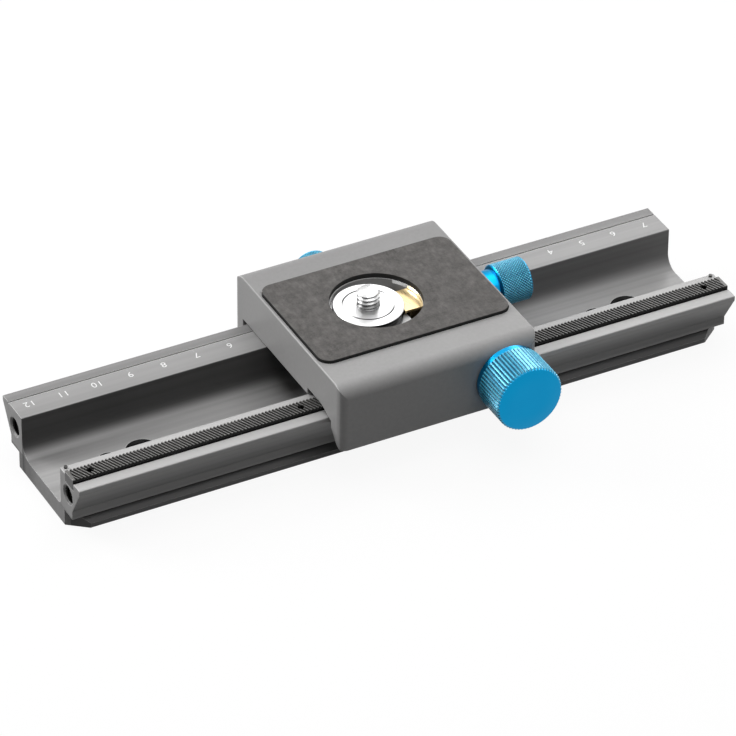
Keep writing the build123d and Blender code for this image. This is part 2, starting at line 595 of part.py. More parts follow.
with BuildPart() as carriage_body:
    with BuildSketch(Plane.XY.offset(CARRIAGE_LOW)):
        with Locations((CARRIAGE_X, 0)):
            RectangleRounded(CARRIAGE_LENGTH, 2 * CARRIAGE_HALF, CORNER_RADIUS)
    extrude(amount=CARRIAGE_TOP - CARRIAGE_LOW)
    with BuildSketch(across(CARRIAGE_LEFT)):
        with Locations((0, CARRIAGE_LOW)):
            Rectangle(2 * CARRIAGE_HALF, CARRIAGE_TOP - CARRIAGE_LOW, align=MIDDLE_LOW)
        fillet(corners_between(CARRIAGE_TOP, CARRIAGE_TOP).sort_by(Axis.X)[-1], CROWN_REAR_RADIUS)
        fillet(corners_between(CARRIAGE_TOP, CARRIAGE_TOP).sort_by(Axis.X)[0], CROWN_FRONT_RADIUS)
    extrude(amount=CARRIAGE_LENGTH, mode=Mode.INTERSECT)
    with BuildSketch(Plane.XZ.offset(-CARRIAGE_HALF)):
        with Locations((CARRIAGE_X, CARRIAGE_LOW)):
            Rectangle(CARRIAGE_LENGTH, CARRIAGE_TOP - CARRIAGE_LOW, align=MIDDLE_LOW)
        fillet(vertices().group_by(Axis.Y)[-1], END_RADIUS)
    extrude(amount=2 * CARRIAGE_HALF, mode=Mode.INTERSECT)

    # Room for the rail and its rack
    with BuildSketch(across(CARRIAGE_LEFT)):
        with Locations((0, 0)):
            Rectangle(2 * JAW_HALF, CEILING, align=MIDDLE_LOW)
        with Locations((-RECESS_FAR, 0)):
            Rectangle(RECESS_NEAR - RECESS_FAR, RECESS_TOP, align=(Align.MAX, Align.MIN))
    extrude(amount=CARRIAGE_LENGTH, mode=Mode.SUBTRACT)
    with BuildSketch(across(CARRIAGE_LEFT), across(CARRIAGE_RIGHT - RELIEF_DEPTH)):
        with BuildLine():
            Polyline(
                (JAW_HALF, CARRIAGE_LOW),
                (RELIEF_LOW_Y, CARRIAGE_LOW),
                (JAW_HALF, RELIEF_JAW_Z),
                close=True,
            )
        make_face()
        mirror(about=Plane.YZ)
        with BuildLine():
            Polyline(
                (-RECESS_NEAR, CEILING),
                (-RECESS_NEAR, RECESS_TOP),
                (-RELIEF_SHOULDER_Y, RELIEF_SHOULDER_Z),
                (-RELIEF_SHOULDER_Y, CEILING),
                close=True,
            )
        make_face()
    extrude(amount=RELIEF_DEPTH, mode=Mode.SUBTRACT)

    # Seat of the grip pad, opening for the disc, and the clamp shoe's slot beside it
    with BuildSketch(Plane.XY.offset(PAD_SEAT)):
        with Locations((CARRIAGE_X, 0)):
            RectangleRounded(
                PAD_LENGTH + 2 * PAD_GROOVE,
                2 * (PAD_HALF + PAD_GROOVE),
                PAD_RADIUS + PAD_GROOVE,
            )
    extrude(amount=PAD_SUNK, mode=Mode.SUBTRACT)
    with BuildSketch(Plane.XY.offset(OPENING_FLOOR)):
        with Locations((OPENING_X, 0)):
            Circle(OPENING_R)
    extrude(amount=PAD_SEAT - OPENING_FLOOR, mode=Mode.SUBTRACT)
    with BuildSketch(Plane.XY.offset(SLOT_FLOOR)):
        with Locations((OPENING_X, 0)):
            Circle(OPENING_R)
        with Locations((PLATE_EDGE_X, 0)):
            Rectangle(2 * OPENING_R, 2 * OPENING_R, align=LEFT_MIDDLE, mode=Mode.INTERSECT)
            Rectangle(
                SLOT_RIGHT - PLATE_EDGE_X,
                2 * (SHOE_HALF + SHOE_SLOT_GAP),
                align=LEFT_MIDDLE,
            )
    extrude(amount=PAD_SEAT - SLOT_FLOOR, mode=Mode.SUBTRACT)
    with Locations(
        (PLATE_SCREW_X, PLATE_SCREW_Y, OPENING_FLOOR),
        (PLATE_SCREW_X, -PLATE_SCREW_Y, OPENING_FLOOR),
    ):
        Hole(PLATE_SCREW_R, PLATE_SCREW_LENGTH - PLATE_THICKNESS + PLATE_SCREW_HEAD)

    # Seat of the cover over the clamp shoe's slot
    with BuildSketch(Plane.XY.offset(COVER_LOW)):
        with Locations((COVER_RIGHT, 0)):
            Rectangle(COVER_RIGHT - PLATE_EDGE_X, 2 * COVER_HALF, align=RIGHT_MIDDLE)
    extrude(amount=PAD_SEAT - COVER_LOW, mode=Mode.SUBTRACT)
    with Locations(
        (COVER_SCREW_X, COVER_SCREW_Y, COVER_LOW),
        (COVER_SCREW_X, -COVER_SCREW_Y, COVER_LOW),
    ):
        Hole(COVER_SCREW_R, COVER_SCREW_LENGTH)

    # Bore of the clamp screw and seat of its insert
    with BuildSketch(CLAMP_SECTION):
        with Locations((SLOT_RIGHT, 0)):
            Rectangle(CARRIAGE_RIGHT - SLOT_RIGHT, CLAMP_CORE_R, align=LOW_CORNER)
        with Locations((CARRIAGE_RIGHT - CLAMP_INSERT_LENGTH, 0)):
            Rectangle(CLAMP_INSERT_LENGTH, CLAMP_INSERT_R, align=LOW_CORNER)
    revolve(axis=CLAMP_AXIS, mode=Mode.SUBTRACT)

    # Bores of the focus drive and the pocket of its retaining ring
    with BuildSketch(DRIVE_SECTION):
        with Locations((-CARRIAGE_HALF, 0)):
            Rectangle(FRONT_BUSH_END + CARRIAGE_HALF, FRONT_BUSH_R, align=LOW_CORNER)
        with Locations((FRONT_BUSH_END, 0)):
            Rectangle(INNER_BUSH_START - FRONT_BUSH_END, DRIVE_CLEAR_R, align=LOW_CORNER)
        with Locations((INNER_BUSH_START, 0)):
            Rectangle(INNER_BUSH_END - INNER_BUSH_START, INNER_BUSH_R, align=LOW_CORNER)
    revolve(axis=DRIVE_AXIS, mode=Mode.SUBTRACT)
    with BuildSketch(Plane.XY.offset(CEILING)):
        with Locations((DRIVE_X, INNER_BUSH_END)):
            Rectangle(2 * RING_POCKET_HALF, RING_POCKET_END - INNER_BUSH_END, align=MIDDLE_LOW)
    extrude(amount=RING_POCKET_TOP - CEILING, mode=Mode.SUBTRACT)

    # Bores of the lock, and threads of the gib screws, through the rear jaw
    with BuildSketch(LOCK_SECTION):
        with Locations((JAW_HALF, 0)):
            Rectangle(CARRIAGE_HALF - JAW_HALF, LOCK_SHOE_R + RUNNING, align=LOW_CORNER)
        with Locations((LOCK_CORE_START, 0)):
            Rectangle(CARRIAGE_HALF - LOCK_CORE_START, LOCK_CORE_R, align=LOW_CORNER)
        with Locations((LOCK_INSERT_START, 0)):
            Rectangle(CARRIAGE_HALF - LOCK_INSERT_START, LOCK_INSERT_R, align=LOW_CORNER)
    revolve(axis=LOCK_AXIS, mode=Mode.SUBTRACT)
    with BuildSketch(facing_rear(CARRIAGE_X, JAW_HALF, GIB_SCREW_Z)):
        with Locations(
            (-GIB_SCREW_FAR_X, 0),
            (-GIB_SCREW_NEAR_X, 0),
            (GIB_SCREW_NEAR_X, 0),
            (GIB_SCREW_FAR_X, 0),
        ):
            Circle(GIB_SCREW_R)
    extrude(amount=CARRIAGE_HALF - JAW_HALF, mode=Mode.SUBTRACT)
carriage_body.part.label = "carriage_body"
export_step(carriage_body.part, "parts/carriage_body.step")

with BuildPart() as top_pad:
    with BuildSketch(Plane.XY.offset(PAD_SEAT)):
        with Locations((CARRIAGE_X, 0)):
            RectangleRounded(PAD_LENGTH, 2 * PAD_HALF, PAD_RADIUS)
        with Locations((OPENING_X, 0)):
            Circle(PAD_HOLE_R, mode=Mode.SUBTRACT)
    extrude(amount=PAD_TOP - PAD_SEAT)
top_pad.part.label = "top_pad"
export_step(top_pad.part, "parts/top_pad.step")

strip_left = CARRIAGE_LEFT + RELIEF_DEPTH
strip_length = CARRIAGE_LENGTH - 2 * RELIEF_DEPTH
with BuildPart() as front_guide_strip:
    with BuildSketch(across(strip_left)):
        with BuildLine():
            Polyline(
                (-flank_half(STRIP_LOW) - SLIDING, STRIP_LOW),
                (-flank_half(STRIP_TOP) - SLIDING, STRIP_TOP),
                (-JAW_HALF, STRIP_TOP),
                (-JAW_HALF, STRIP_LOW),
                close=True,
            )
        make_face()
    extrude(amount=strip_length)
front_guide_strip.part.label = "front_guide_strip"
export_step(front_guide_strip.part, "parts/front_guide_strip.step")

gib_back = JAW_HALF - 2 * SLIDING
with BuildPart() as rear_gib:
    with BuildSketch(across(strip_left)):
        with BuildLine():
            Polyline(
                (flank_half(STRIP_LOW) + SLIDING, STRIP_LOW),
                (flank_half(STRIP_TOP) + SLIDING, STRIP_TOP),
                (gib_back, STRIP_TOP),
                (gib_back, STRIP_LOW),
                close=True,
            )
        make_face()
    extrude(amount=strip_length)
    with BuildSketch(facing_rear(LOCK_X, 0, LOCK_Z)):
        Circle(LOCK_SHOE_R + RUNNING)
    extrude(amount=JAW_HALF, mode=Mode.SUBTRACT)
rear_gib.part.label = "rear_gib"
export_step(rear_gib.part, "parts/rear_gib.step")

with BuildPart() as gib_screws:
    with BuildSketch(facing_rear(CARRIAGE_X, gib_back, GIB_SCREW_Z)):
        with Locations(
            (-GIB_SCREW_FAR_X, 0),
            (-GIB_SCREW_NEAR_X, 0),
            (GIB_SCREW_NEAR_X, 0),
            (GIB_SCREW_FAR_X, 0),
        ):
            Circle(GIB_SCREW_R)
    extrude(amount=GIB_SCREW_LENGTH)
    with BuildSketch(facing_rear(CARRIAGE_X, gib_back + GIB_SCREW_LENGTH, GIB_SCREW_Z)):
        with Locations(
            (-GIB_SCREW_FAR_X, 0),
            (-GIB_SCREW_NEAR_X, 0),
            (GIB_SCREW_NEAR_X, 0),
            (GIB_SCREW_FAR_X, 0),
        ):
            RegularPolygon(GIB_HEX_R, 6)
    extrude(amount=-GIB_HEX_DEPTH, mode=Mode.SUBTRACT)
gib_screws.part.label = "gib_screws"
export_step(gib_screws.part, "parts/gib_screws.step")

with BuildPart() as top_glides:
    with BuildSketch(Plane.XY.offset(CEILING)):
        with Locations((CARRIAGE_X, GLIDE_REAR_Y)):
            Rectangle(GLIDE_LENGTH, GLIDE_REAR_WIDTH)
        with Locations((CARRIAGE_X, GLIDE_FRONT_Y)):
            Rectangle(GLIDE_LENGTH, GLIDE_FRONT_WIDTH)
        with Locations((DRIVE_X, GLIDE_FRONT_Y)):
            Rectangle(2 * DRIVE_CLEAR_R, GLIDE_FRONT_WIDTH, mode=Mode.SUBTRACT)
    extrude(amount=-GLIDE_THICKNESS)
top_glides.part.label = "top_glides"
export_step(top_glides.part, "parts/top_glides.step")

with BuildPart() as stop_lugs:
    with BuildSketch(Plane.XY.offset(RAIL_TOP + LUG_CLEAR)):
        with Locations((strip_left, -RECESS_FAR)):
            Rectangle(LUG_LENGTH, LUG_WIDTH, align=(Align.MIN, Align.MAX))
        with Locations((strip_left + strip_length, -RECESS_FAR)):
            Rectangle(LUG_LENGTH, LUG_WIDTH, align=(Align.MAX, Align.MAX))
    extrude(amount=RECESS_TOP - RAIL_TOP - LUG_CLEAR)
stop_lugs.part.label = "stop_lugs"
export_step(stop_lugs.part, "parts/stop_lugs.step")

with BuildPart() as support_plate:
    with BuildSketch(Plane.XY.offset(OPENING_FLOOR)):
        with Locations((OPENING_X, 0)):
            Circle(OPENING_R - RUNNING)
        with Locations((PLATE_EDGE_X, 0)):
            Rectangle(2 * OPENING_R, 2 * OPENING_R, align=RIGHT_MIDDLE, mode=Mode.INTERSECT)
    extrude(amount=PLATE_THICKNESS)
    with Locations(
        (PLATE_SCREW_X, PLATE_SCREW_Y, PLATE_TOP),
        (PLATE_SCREW_X, -PLATE_SCREW_Y, PLATE_TOP),
    ):
        CounterBoreHole(PLATE_SCREW_R, PLATE_SCREW_HEAD_R, PLATE_SCREW_HEAD, PLATE_THICKNESS)
support_plate.part.label = "support_plate"
export_step(support_plate.part, "parts/support_plate.step")

plate_screw_neck = PLATE_TOP - PLATE_SCREW_HEAD
with BuildPart() as support_screws:
    with BuildSketch(Plane.XY.offset(plate_screw_neck)):
        with Locations((PLATE_SCREW_X, PLATE_SCREW_Y), (PLATE_SCREW_X, -PLATE_SCREW_Y)):
            Circle(PLATE_SCREW_R)
    extrude(amount=-PLATE_SCREW_LENGTH + PLATE_SCREW_HEAD)
    with BuildSketch(Plane.XY.offset(plate_screw_neck)):
        with Locations((PLATE_SCREW_X, PLATE_SCREW_Y), (PLATE_SCREW_X, -PLATE_SCREW_Y)):
            Circle(PLATE_SCREW_HEAD_R)
    extrude(amount=PLATE_SCREW_HEAD)
    with BuildSketch(Plane.XY.offset(PLATE_TOP)):
        with Locations((PLATE_SCREW_X, PLATE_SCREW_Y), (PLATE_SCREW_X, -PLATE_SCREW_Y)):
            RegularPolygon(PLATE_SCREW_R, 6)
    extrude(amount=-PLATE_SCREW_HEAD / 2, mode=Mode.SUBTRACT)
support_screws.part.label = "support_screws"
export_step(support_screws.part, "parts/support_screws.step")

with BuildPart() as fixed_jaw:
    with BuildSketch(Plane.XY.offset(PLATE_TOP)):
        with Locations((OPENING_X, 0)):
            Circle(OPENING_R - RUNNING)
        with Locations((DISC_X, 0)):
            Circle(DISC_FOOT_R + FREE, mode=Mode.SUBTRACT)
        with Locations((JAW_EDGE_X, 0)):
            Rectangle(OPENING_R, 2 * OPENING_R, align=RIGHT_MIDDLE, mode=Mode.INTERSECT)
    extrude(amount=LIP_LOW - PLATE_TOP)
    with BuildSketch(Plane.XY.offset(LIP_LOW)):
        with Locations((OPENING_X, 0)):
            Circle(OPENING_R - RUNNING)
        with Locations((DISC_X, 0)):
            Circle(DISC_WAIST_R + FREE, mode=Mode.SUBTRACT)
        with Locations((JAW_EDGE_X, 0)):
            Rectangle(OPENING_R, 2 * OPENING_R, align=RIGHT_MIDDLE, mode=Mode.INTERSECT)
    extrude(amount=LIP_TOP - LIP_LOW)
fixed_jaw.part.label = "fixed_jaw"
export_step(fixed_jaw.part, "parts/fixed_jaw.step")

with BuildPart() as shoe_cover:
    with BuildSketch(Plane.XY.offset(COVER_LOW)):
        with Locations((COVER_RIGHT, 0)):
            Rectangle(COVER_RIGHT - PLATE_EDGE_X, 2 * COVER_HALF, align=RIGHT_MIDDLE)
        with Locations((OPENING_X, 0)):
            Circle(OPENING_R, mode=Mode.SUBTRACT)
    extrude(amount=PAD_SEAT - COVER_LOW)
    with Locations(
        (COVER_SCREW_X, COVER_SCREW_Y, PAD_SEAT),
        (COVER_SCREW_X, -COVER_SCREW_Y, PAD_SEAT),
    ):
        CounterBoreHole(
            COVER_SCREW_R,
            COVER_SCREW_HEAD_R,
            COVER_SCREW_HEAD,
            PAD_SEAT - COVER_LOW,
        )
shoe_cover.part.label = "shoe_cover"
export_step(shoe_cover.part, "parts/shoe_cover.step")

cover_screw_neck = PAD_SEAT - COVER_SCREW_HEAD
with BuildPart() as cover_screws:
    with BuildSketch(Plane.XY.offset(cover_screw_neck)):
        with Locations((COVER_SCREW_X, COVER_SCREW_Y), (COVER_SCREW_X, -COVER_SCREW_Y)):
            Circle(COVER_SCREW_R)
    extrude(amount=-COVER_SCREW_LENGTH)
    with BuildSketch(Plane.XY.offset(cover_screw_neck)):
        with Locations((COVER_SCREW_X, COVER_SCREW_Y), (COVER_SCREW_X, -COVER_SCREW_Y)):
            Circle(COVER_SCREW_HEAD_R)
    extrude(amount=COVER_SCREW_HEAD)
cover_screws.part.label = "cover_screws"
export_step(cover_screws.part, "parts/cover_screws.step")

with BuildPart() as clamp_insert:
    with BuildSketch(CLAMP_SECTION):
        with Locations((CARRIAGE_RIGHT - CLAMP_INSERT_LENGTH, CLAMP_THREAD_R + RUNNING)):
            Rectangle(
                CLAMP_INSERT_LENGTH,
                CLAMP_INSERT_R - CLAMP_THREAD_R - RUNNING,
                align=LOW_CORNER,
            )
    revolve(axis=CLAMP_AXIS)
clamp_insert.part.label = "clamp_insert"
export_step(clamp_insert.part, "parts/clamp_insert.step")

with BuildPart() as lock_insert:
    with BuildSketch(LOCK_SECTION):
        with Locations((LOCK_INSERT_START, LOCK_THREAD_R + RUNNING)):
            Rectangle(
                CARRIAGE_HALF - LOCK_INSERT_START,
                LOCK_INSERT_R - LOCK_THREAD_R - RUNNING,
                align=LOW_CORNER,
            )
    revolve(axis=LOCK_AXIS)
lock_insert.part.label = "lock_insert"
export_step(lock_insert.part, "parts/lock_insert.step")

with BuildPart() as front_bush:
    with BuildSketch(DRIVE_SECTION):
        with Locations((-CARRIAGE_HALF, PINION_TIP_R + RUNNING)):
            Rectangle(
                FRONT_BUSH_END + CARRIAGE_HALF,
                FRONT_BUSH_R - PINION_TIP_R - RUNNING,
                align=LOW_CORNER,
            )
    revolve(axis=DRIVE_AXIS)
front_bush.part.label = "front_bush"
export_step(front_bush.part, "parts/front_bush.step")

with BuildPart() as inner_bush:
    with BuildSketch(DRIVE_SECTION):
        with Locations((INNER_BUSH_START, DRIVE_JOURNAL_R + RUNNING)):
            Rectangle(
                INNER_BUSH_END - INNER_BUSH_START,
                INNER_BUSH_R - DRIVE_JOURNAL_R - RUNNING,
                align=LOW_CORNER,
            )
    revolve(axis=DRIVE_AXIS)
inner_bush.part.label = "inner_bush"
export_step(inner_bush.part, "parts/inner_bush.step")

# ---- Focus drive ----

with BuildPart() as drive_knob:
    with BuildSketch(facing_rear(DRIVE_X, DRIVE_KNOB_FACE, DRIVE_Z)):
        Circle(DRIVE_KNOB_R)
        with PolarLocations(DRIVE_KNOB_R, KNURL_COUNT):
            Rectangle(KNURL_SQUARE, KNURL_SQUARE, rotation=KNURL_TURN, mode=Mode.SUBTRACT)
    extrude(amount=DRIVE_KNOB_LENGTH)
    with BuildSketch(DRIVE_SECTION):
        with BuildLine():
            Polyline(
                (DRIVE_KNOB_FACE, DRIVE_KNOB_R - DRIVE_KNOB_CHAMFER),
                (DRIVE_KNOB_FACE, DRIVE_KNOB_R + OVERCUT),
                (DRIVE_KNOB_FACE + DRIVE_KNOB_CHAMFER, DRIVE_KNOB_R + OVERCUT),
                (DRIVE_KNOB_FACE + DRIVE_KNOB_CHAMFER, DRIVE_KNOB_R),
                close=True,
            )
        make_face()
    revolve(axis=DRIVE_AXIS, mode=Mode.SUBTRACT)
    with BuildSketch(facing_rear(DRIVE_X, SHAFT_START, DRIVE_Z)):
        Circle(PINION_TIP_R)
    extrude(amount=DRIVE_KNOB_BACK - SHAFT_START, mode=Mode.SUBTRACT)
    with BuildSketch(Plane((DRIVE_X, DRIVE_KNOB_BACK - GRUB_Y, DRIVE_Z), z_dir=(0, 0, -1))):
        Circle(GRUB_R)
    extrude(amount=DRIVE_KNOB_R, mode=Mode.SUBTRACT)
drive_knob.part.label = "drive_knob"
export_step(drive_knob.part, "parts/drive_knob.step")

with BuildPart() as knob_grub_screw:
    grub_seat = Plane((DRIVE_X, DRIVE_KNOB_BACK - GRUB_Y, DRIVE_Z - PINION_TIP_R), z_dir=(0, 0, -1))
    with BuildSketch(grub_seat):
        Circle(GRUB_R)
    extrude(amount=GRUB_LENGTH)
    with BuildSketch(grub_seat.offset(GRUB_LENGTH)):
        RegularPolygon(GRUB_HEX_R, 6)
    extrude(amount=-GRUB_HEX_DEPTH, mode=Mode.SUBTRACT)
    with BuildSketch(facing_rear(DRIVE_X, DRIVE_KNOB_FACE, DRIVE_Z)):
        Circle(PINION_TIP_R)
    extrude(amount=DRIVE_KNOB_LENGTH, mode=Mode.SUBTRACT)
knob_grub_screw.part.label = "knob_grub_screw"
export_step(knob_grub_screw.part, "parts/knob_grub_screw.step")

with BuildPart() as brake_washer:
    with BuildSketch(facing_rear(DRIVE_X, -CARRIAGE_HALF - CLOSE, DRIVE_Z)):
        Circle(WASHER_R)
        Circle(PINION_TIP_R, mode=Mode.SUBTRACT)
    extrude(amount=-WASHER_THICKNESS)
brake_washer.part.label = "brake_washer"
export_step(brake_washer.part, "parts/brake_washer.step")

# The pinion's teeth lean the same way as the rack's where the two meet, below the axis.
twist = HELIX_SLOPE * PINION_LENGTH / PINION_PITCH_R
first_tooth = -pi / 2 + twist / 2
pinion_outline = []
for tooth in range(PINION_TEETH):
    middle = first_tooth + tooth * 2 * pi / PINION_TEETH
    rising = [PINION_ROOT_R, PINION_BASE_R, PINION_PITCH_R, PINION_TIP_R]
    for side, radii in ((-1, rising), (1, reversed(rising))):
        for radius in radii:
            angle = middle + side * tooth_half_angle(radius)
            pinion_outline.append((radius * cos(angle), radius * sin(angle)))

pinion_start = Plane((DRIVE_X, PINION_NEAR, DRIVE_Z), x_dir=(1, 0, 0), z_dir=(0, -1, 0))
with BuildSketch(pinion_start) as pinion_section:
    with BuildLine():
        Polyline(*pinion_outline, close=True)
    make_face()
pinion_teeth = Solid.extrude_linear_with_rotation(
    pinion_section.sketch.face(),
    center=pinion_start.origin,
    normal=(0, PINION_LENGTH, 0),
    angle=degrees(twist),
)

with BuildPart() as pinion_shaft:
    with BuildSketch(DRIVE_SECTION):
        with BuildLine():
            Polyline(
                (SHAFT_START, 0),
                (SHAFT_START, PINION_TIP_R),
                (PINION_NEAR, PINION_TIP_R),
                (PINION_NEAR, 0),
                close=True,
            )
        make_face()
        with BuildLine():
            Polyline(
                (PINION_FAR, 0),
                (PINION_FAR, DRIVE_JOURNAL_R),
                (INNER_BUSH_END + RUNNING, DRIVE_JOURNAL_R),
                (INNER_BUSH_END + RUNNING, RING_GROOVE_R),
                (INNER_BUSH_END + RUNNING + RING_GROOVE_WIDTH, RING_GROOVE_R),
                (INNER_BUSH_END + RUNNING + RING_GROOVE_WIDTH, DRIVE_JOURNAL_R),
                (SHAFT_END, DRIVE_JOURNAL_R),
                (SHAFT_END, 0),
                close=True,
            )
        make_face()
    revolve(axis=DRIVE_AXIS)
    add(pinion_teeth)
pinion_shaft.part.label = "pinion_shaft"
export_step(pinion_shaft.part, "parts/pinion_shaft.step")

with BuildPart() as retaining_ring:
    ring_start = INNER_BUSH_END + RUNNING + (RING_GROOVE_WIDTH - RING_THICKNESS) / 2
    with BuildSketch(facing_rear(DRIVE_X, ring_start, DRIVE_Z)):
        Circle(RING_OUT_R)
        Circle(RING_GROOVE_R, mode=Mode.SUBTRACT)
        Rectangle(RING_GROOVE_R, 2 * RING_OUT_R, align=MIDDLE_LOW, mode=Mode.SUBTRACT)
    extrude(amount=RING_THICKNESS)
retaining_ring.part.label = "retaining_ring"
export_step(retaining_ring.part, "parts/retaining_ring.step")

# ---- Carriage lock ----

lock_nose = flank_half(LOCK_Z) + LOCK_TRAVEL + RUNNING
with BuildPart() as lock_shoe:
    with BuildSketch(facing_rear(LOCK_X, 0, LOCK_Z)):
        Circle(LOCK_SHOE_R)
    extrude(amount=LOCK_SHOE_END)
    with BuildSketch(across(LOCK_X - 2 * LOCK_SHOE_R)):
        with BuildLine():
            Polyline(
                (0, LOCK_Z - 2 * LOCK_SHOE_R),
                (lock_nose - 2 * LOCK_SHOE_R * FLANK_SLOPE, LOCK_Z - 2 * LOCK_SHOE_R),
                (lock_nose + 2 * LOCK_SHOE_R * FLANK_SLOPE, LOCK_Z + 2 * LOCK_SHOE_R),
                (0, LOCK_Z + 2 * LOCK_SHOE_R),
                close=True,
            )
        make_face()
    extrude(amount=4 * LOCK_SHOE_R, mode=Mode.SUBTRACT)
lock_shoe.part.label = "lock_shoe"
export_step(lock_shoe.part, "parts/lock_shoe.step")

lock_knob_back = CARRIAGE_HALF + LOCK_NECK_GAP
lock_grip = lock_knob_back + LOCK_NECK
with BuildPart() as lock_knob:
    with BuildSketch(LOCK_SECTION):
        with Locations((lock_knob_back, 0)):
            Rectangle(LOCK_NECK, SMALL_NECK_R, align=LOW_CORNER)
        with Locations((lock_grip, 0)):
            Rectangle(SMALL_KNOB_GRIP, SMALL_KNOB_R, align=LOW_CORNER)
    revolve(axis=LOCK_AXIS)
    chamfer(edges().filter_by(GeomType.CIRCLE).sort_by(SortBy.RADIUS)[-2:], SMALL_KNOB_CHAMFER)
    with BuildSketch(facing_rear(LOCK_X, lock_knob_back, LOCK_Z)):
        Circle(LOCK_THREAD_R)
    extrude(amount=LOCK_IN_KNOB, mode=Mode.SUBTRACT)
lock_knob.part.label = "lock_knob"
export_step(lock_knob.part, "parts/lock_knob.step")

with BuildPart() as lock_screw:
    with BuildSketch(facing_rear(LOCK_X, LOCK_SHOE_END + CLOSE, LOCK_Z)):
        Circle(LOCK_THREAD_R)
    extrude(amount=lock_knob_back + LOCK_IN_KNOB - LOCK_SHOE_END - CLOSE)
lock_screw.part.label = "lock_screw"
export_step(lock_screw.part, "parts/lock_screw.step")

# ---- Disc clamp ----

shoe_nose = DISC_X + DISC_WAIST_R + SHOE_NOSE_GAP
with BuildPart() as clamp_shoe:
    with BuildSketch(Plane.XY.offset(SHOE_LOW)):
        with Locations((SHOE_LEFT, 0)):
            Rectangle(SHOE_LENGTH, 2 * SHOE_HALF, align=LEFT_MIDDLE)
    extrude(amount=LIP_TOP - SHOE_LOW)
    with BuildSketch(Plane.XY.offset(LIP_LOW)):
        with Locations((SHOE_LEFT, 0)):
            Rectangle(SHOE_LEFT - shoe_nose, 2 * SHOE_HALF, align=RIGHT_MIDDLE)
    extrude(amount=LIP_TOP - LIP_LOW)
    with BuildSketch(Plane((SHOE_RIGHT, 0, CLAMP_Z), z_dir=(1, 0, 0))):
        Circle(CLAMP_TIP_R + RUNNING)
    extrude(amount=-CLAMP_TIP_LENGTH - FREE, mode=Mode.SUBTRACT)
    with BuildSketch(Plane.XY.offset(SHOE_LOW)):
        with Locations((CLAMP_GROOVE_X, CLAMP_PIN_Y), (CLAMP_GROOVE_X, -CLAMP_PIN_Y)):
            Circle(CLAMP_PIN_R)
    extrude(amount=LIP_TOP - SHOE_LOW, mode=Mode.SUBTRACT)
clamp_shoe.part.label = "clamp_shoe"
export_step(clamp_shoe.part, "parts/clamp_shoe.step")

with BuildPart() as clamp_pins:
    with BuildSketch(Plane.XY.offset(SHOE_LOW)):
        with Locations((CLAMP_GROOVE_X, CLAMP_PIN_Y), (CLAMP_GROOVE_X, -CLAMP_PIN_Y)):
            Circle(CLAMP_PIN_R)
    extrude(amount=LIP_TOP - SHOE_LOW)
clamp_pins.part.label = "clamp_pins"
export_step(clamp_pins.part, "parts/clamp_pins.step")

clamp_knob_back = CARRIAGE_RIGHT + CLAMP_NECK_GAP
clamp_grip = clamp_knob_back + CLAMP_NECK
clamp_screw_end = clamp_knob_back + CLAMP_IN_KNOB
clamp_shoulder = SHOE_RIGHT + CLOSE
with BuildPart() as clamp_screw:
    with BuildSketch(CLAMP_SECTION):
        with BuildLine():
            Polyline(
                (clamp_shoulder - CLAMP_TIP_LENGTH, 0),
                (clamp_shoulder - CLAMP_TIP_LENGTH, CLAMP_TIP_R),
                (CLAMP_GROOVE_X - CLAMP_GROOVE_WIDTH / 2, CLAMP_TIP_R),
                (CLAMP_GROOVE_X - CLAMP_GROOVE_WIDTH / 2, CLAMP_GROOVE_R),
                (CLAMP_GROOVE_X + CLAMP_GROOVE_WIDTH / 2, CLAMP_GROOVE_R),
                (CLAMP_GROOVE_X + CLAMP_GROOVE_WIDTH / 2, CLAMP_TIP_R),
                (clamp_shoulder, CLAMP_TIP_R),
                (clamp_shoulder, CLAMP_THREAD_R),
                (clamp_screw_end, CLAMP_THREAD_R),
                (clamp_screw_end, 0),
                close=True,
            )
        make_face()
    revolve(axis=CLAMP_AXIS)
clamp_screw.part.label = "clamp_screw"
export_step(clamp_screw.part, "parts/clamp_screw.step")

with BuildPart() as clamp_knob:
    with BuildSketch(CLAMP_SECTION):
        with Locations((clamp_knob_back, 0)):
            Rectangle(CLAMP_NECK, SMALL_NECK_R, align=LOW_CORNER)
        with Locations((clamp_grip, 0)):
            Rectangle(SMALL_KNOB_GRIP, SMALL_KNOB_R, align=LOW_CORNER)
    revolve(axis=CLAMP_AXIS)
    chamfer(edges().filter_by(GeomType.CIRCLE).sort_by(SortBy.RADIUS)[-2:], SMALL_KNOB_CHAMFER)
    with BuildSketch(Plane((clamp_knob_back, 0, CLAMP_Z), z_dir=(1, 0, 0))):
        Circle(CLAMP_THREAD_R)
    extrude(amount=CLAMP_IN_KNOB, mode=Mode.SUBTRACT)
clamp_knob.part.label = "clamp_knob"
export_step(clamp_knob.part, "parts/clamp_knob.step")

# ---- Camera fastening ----

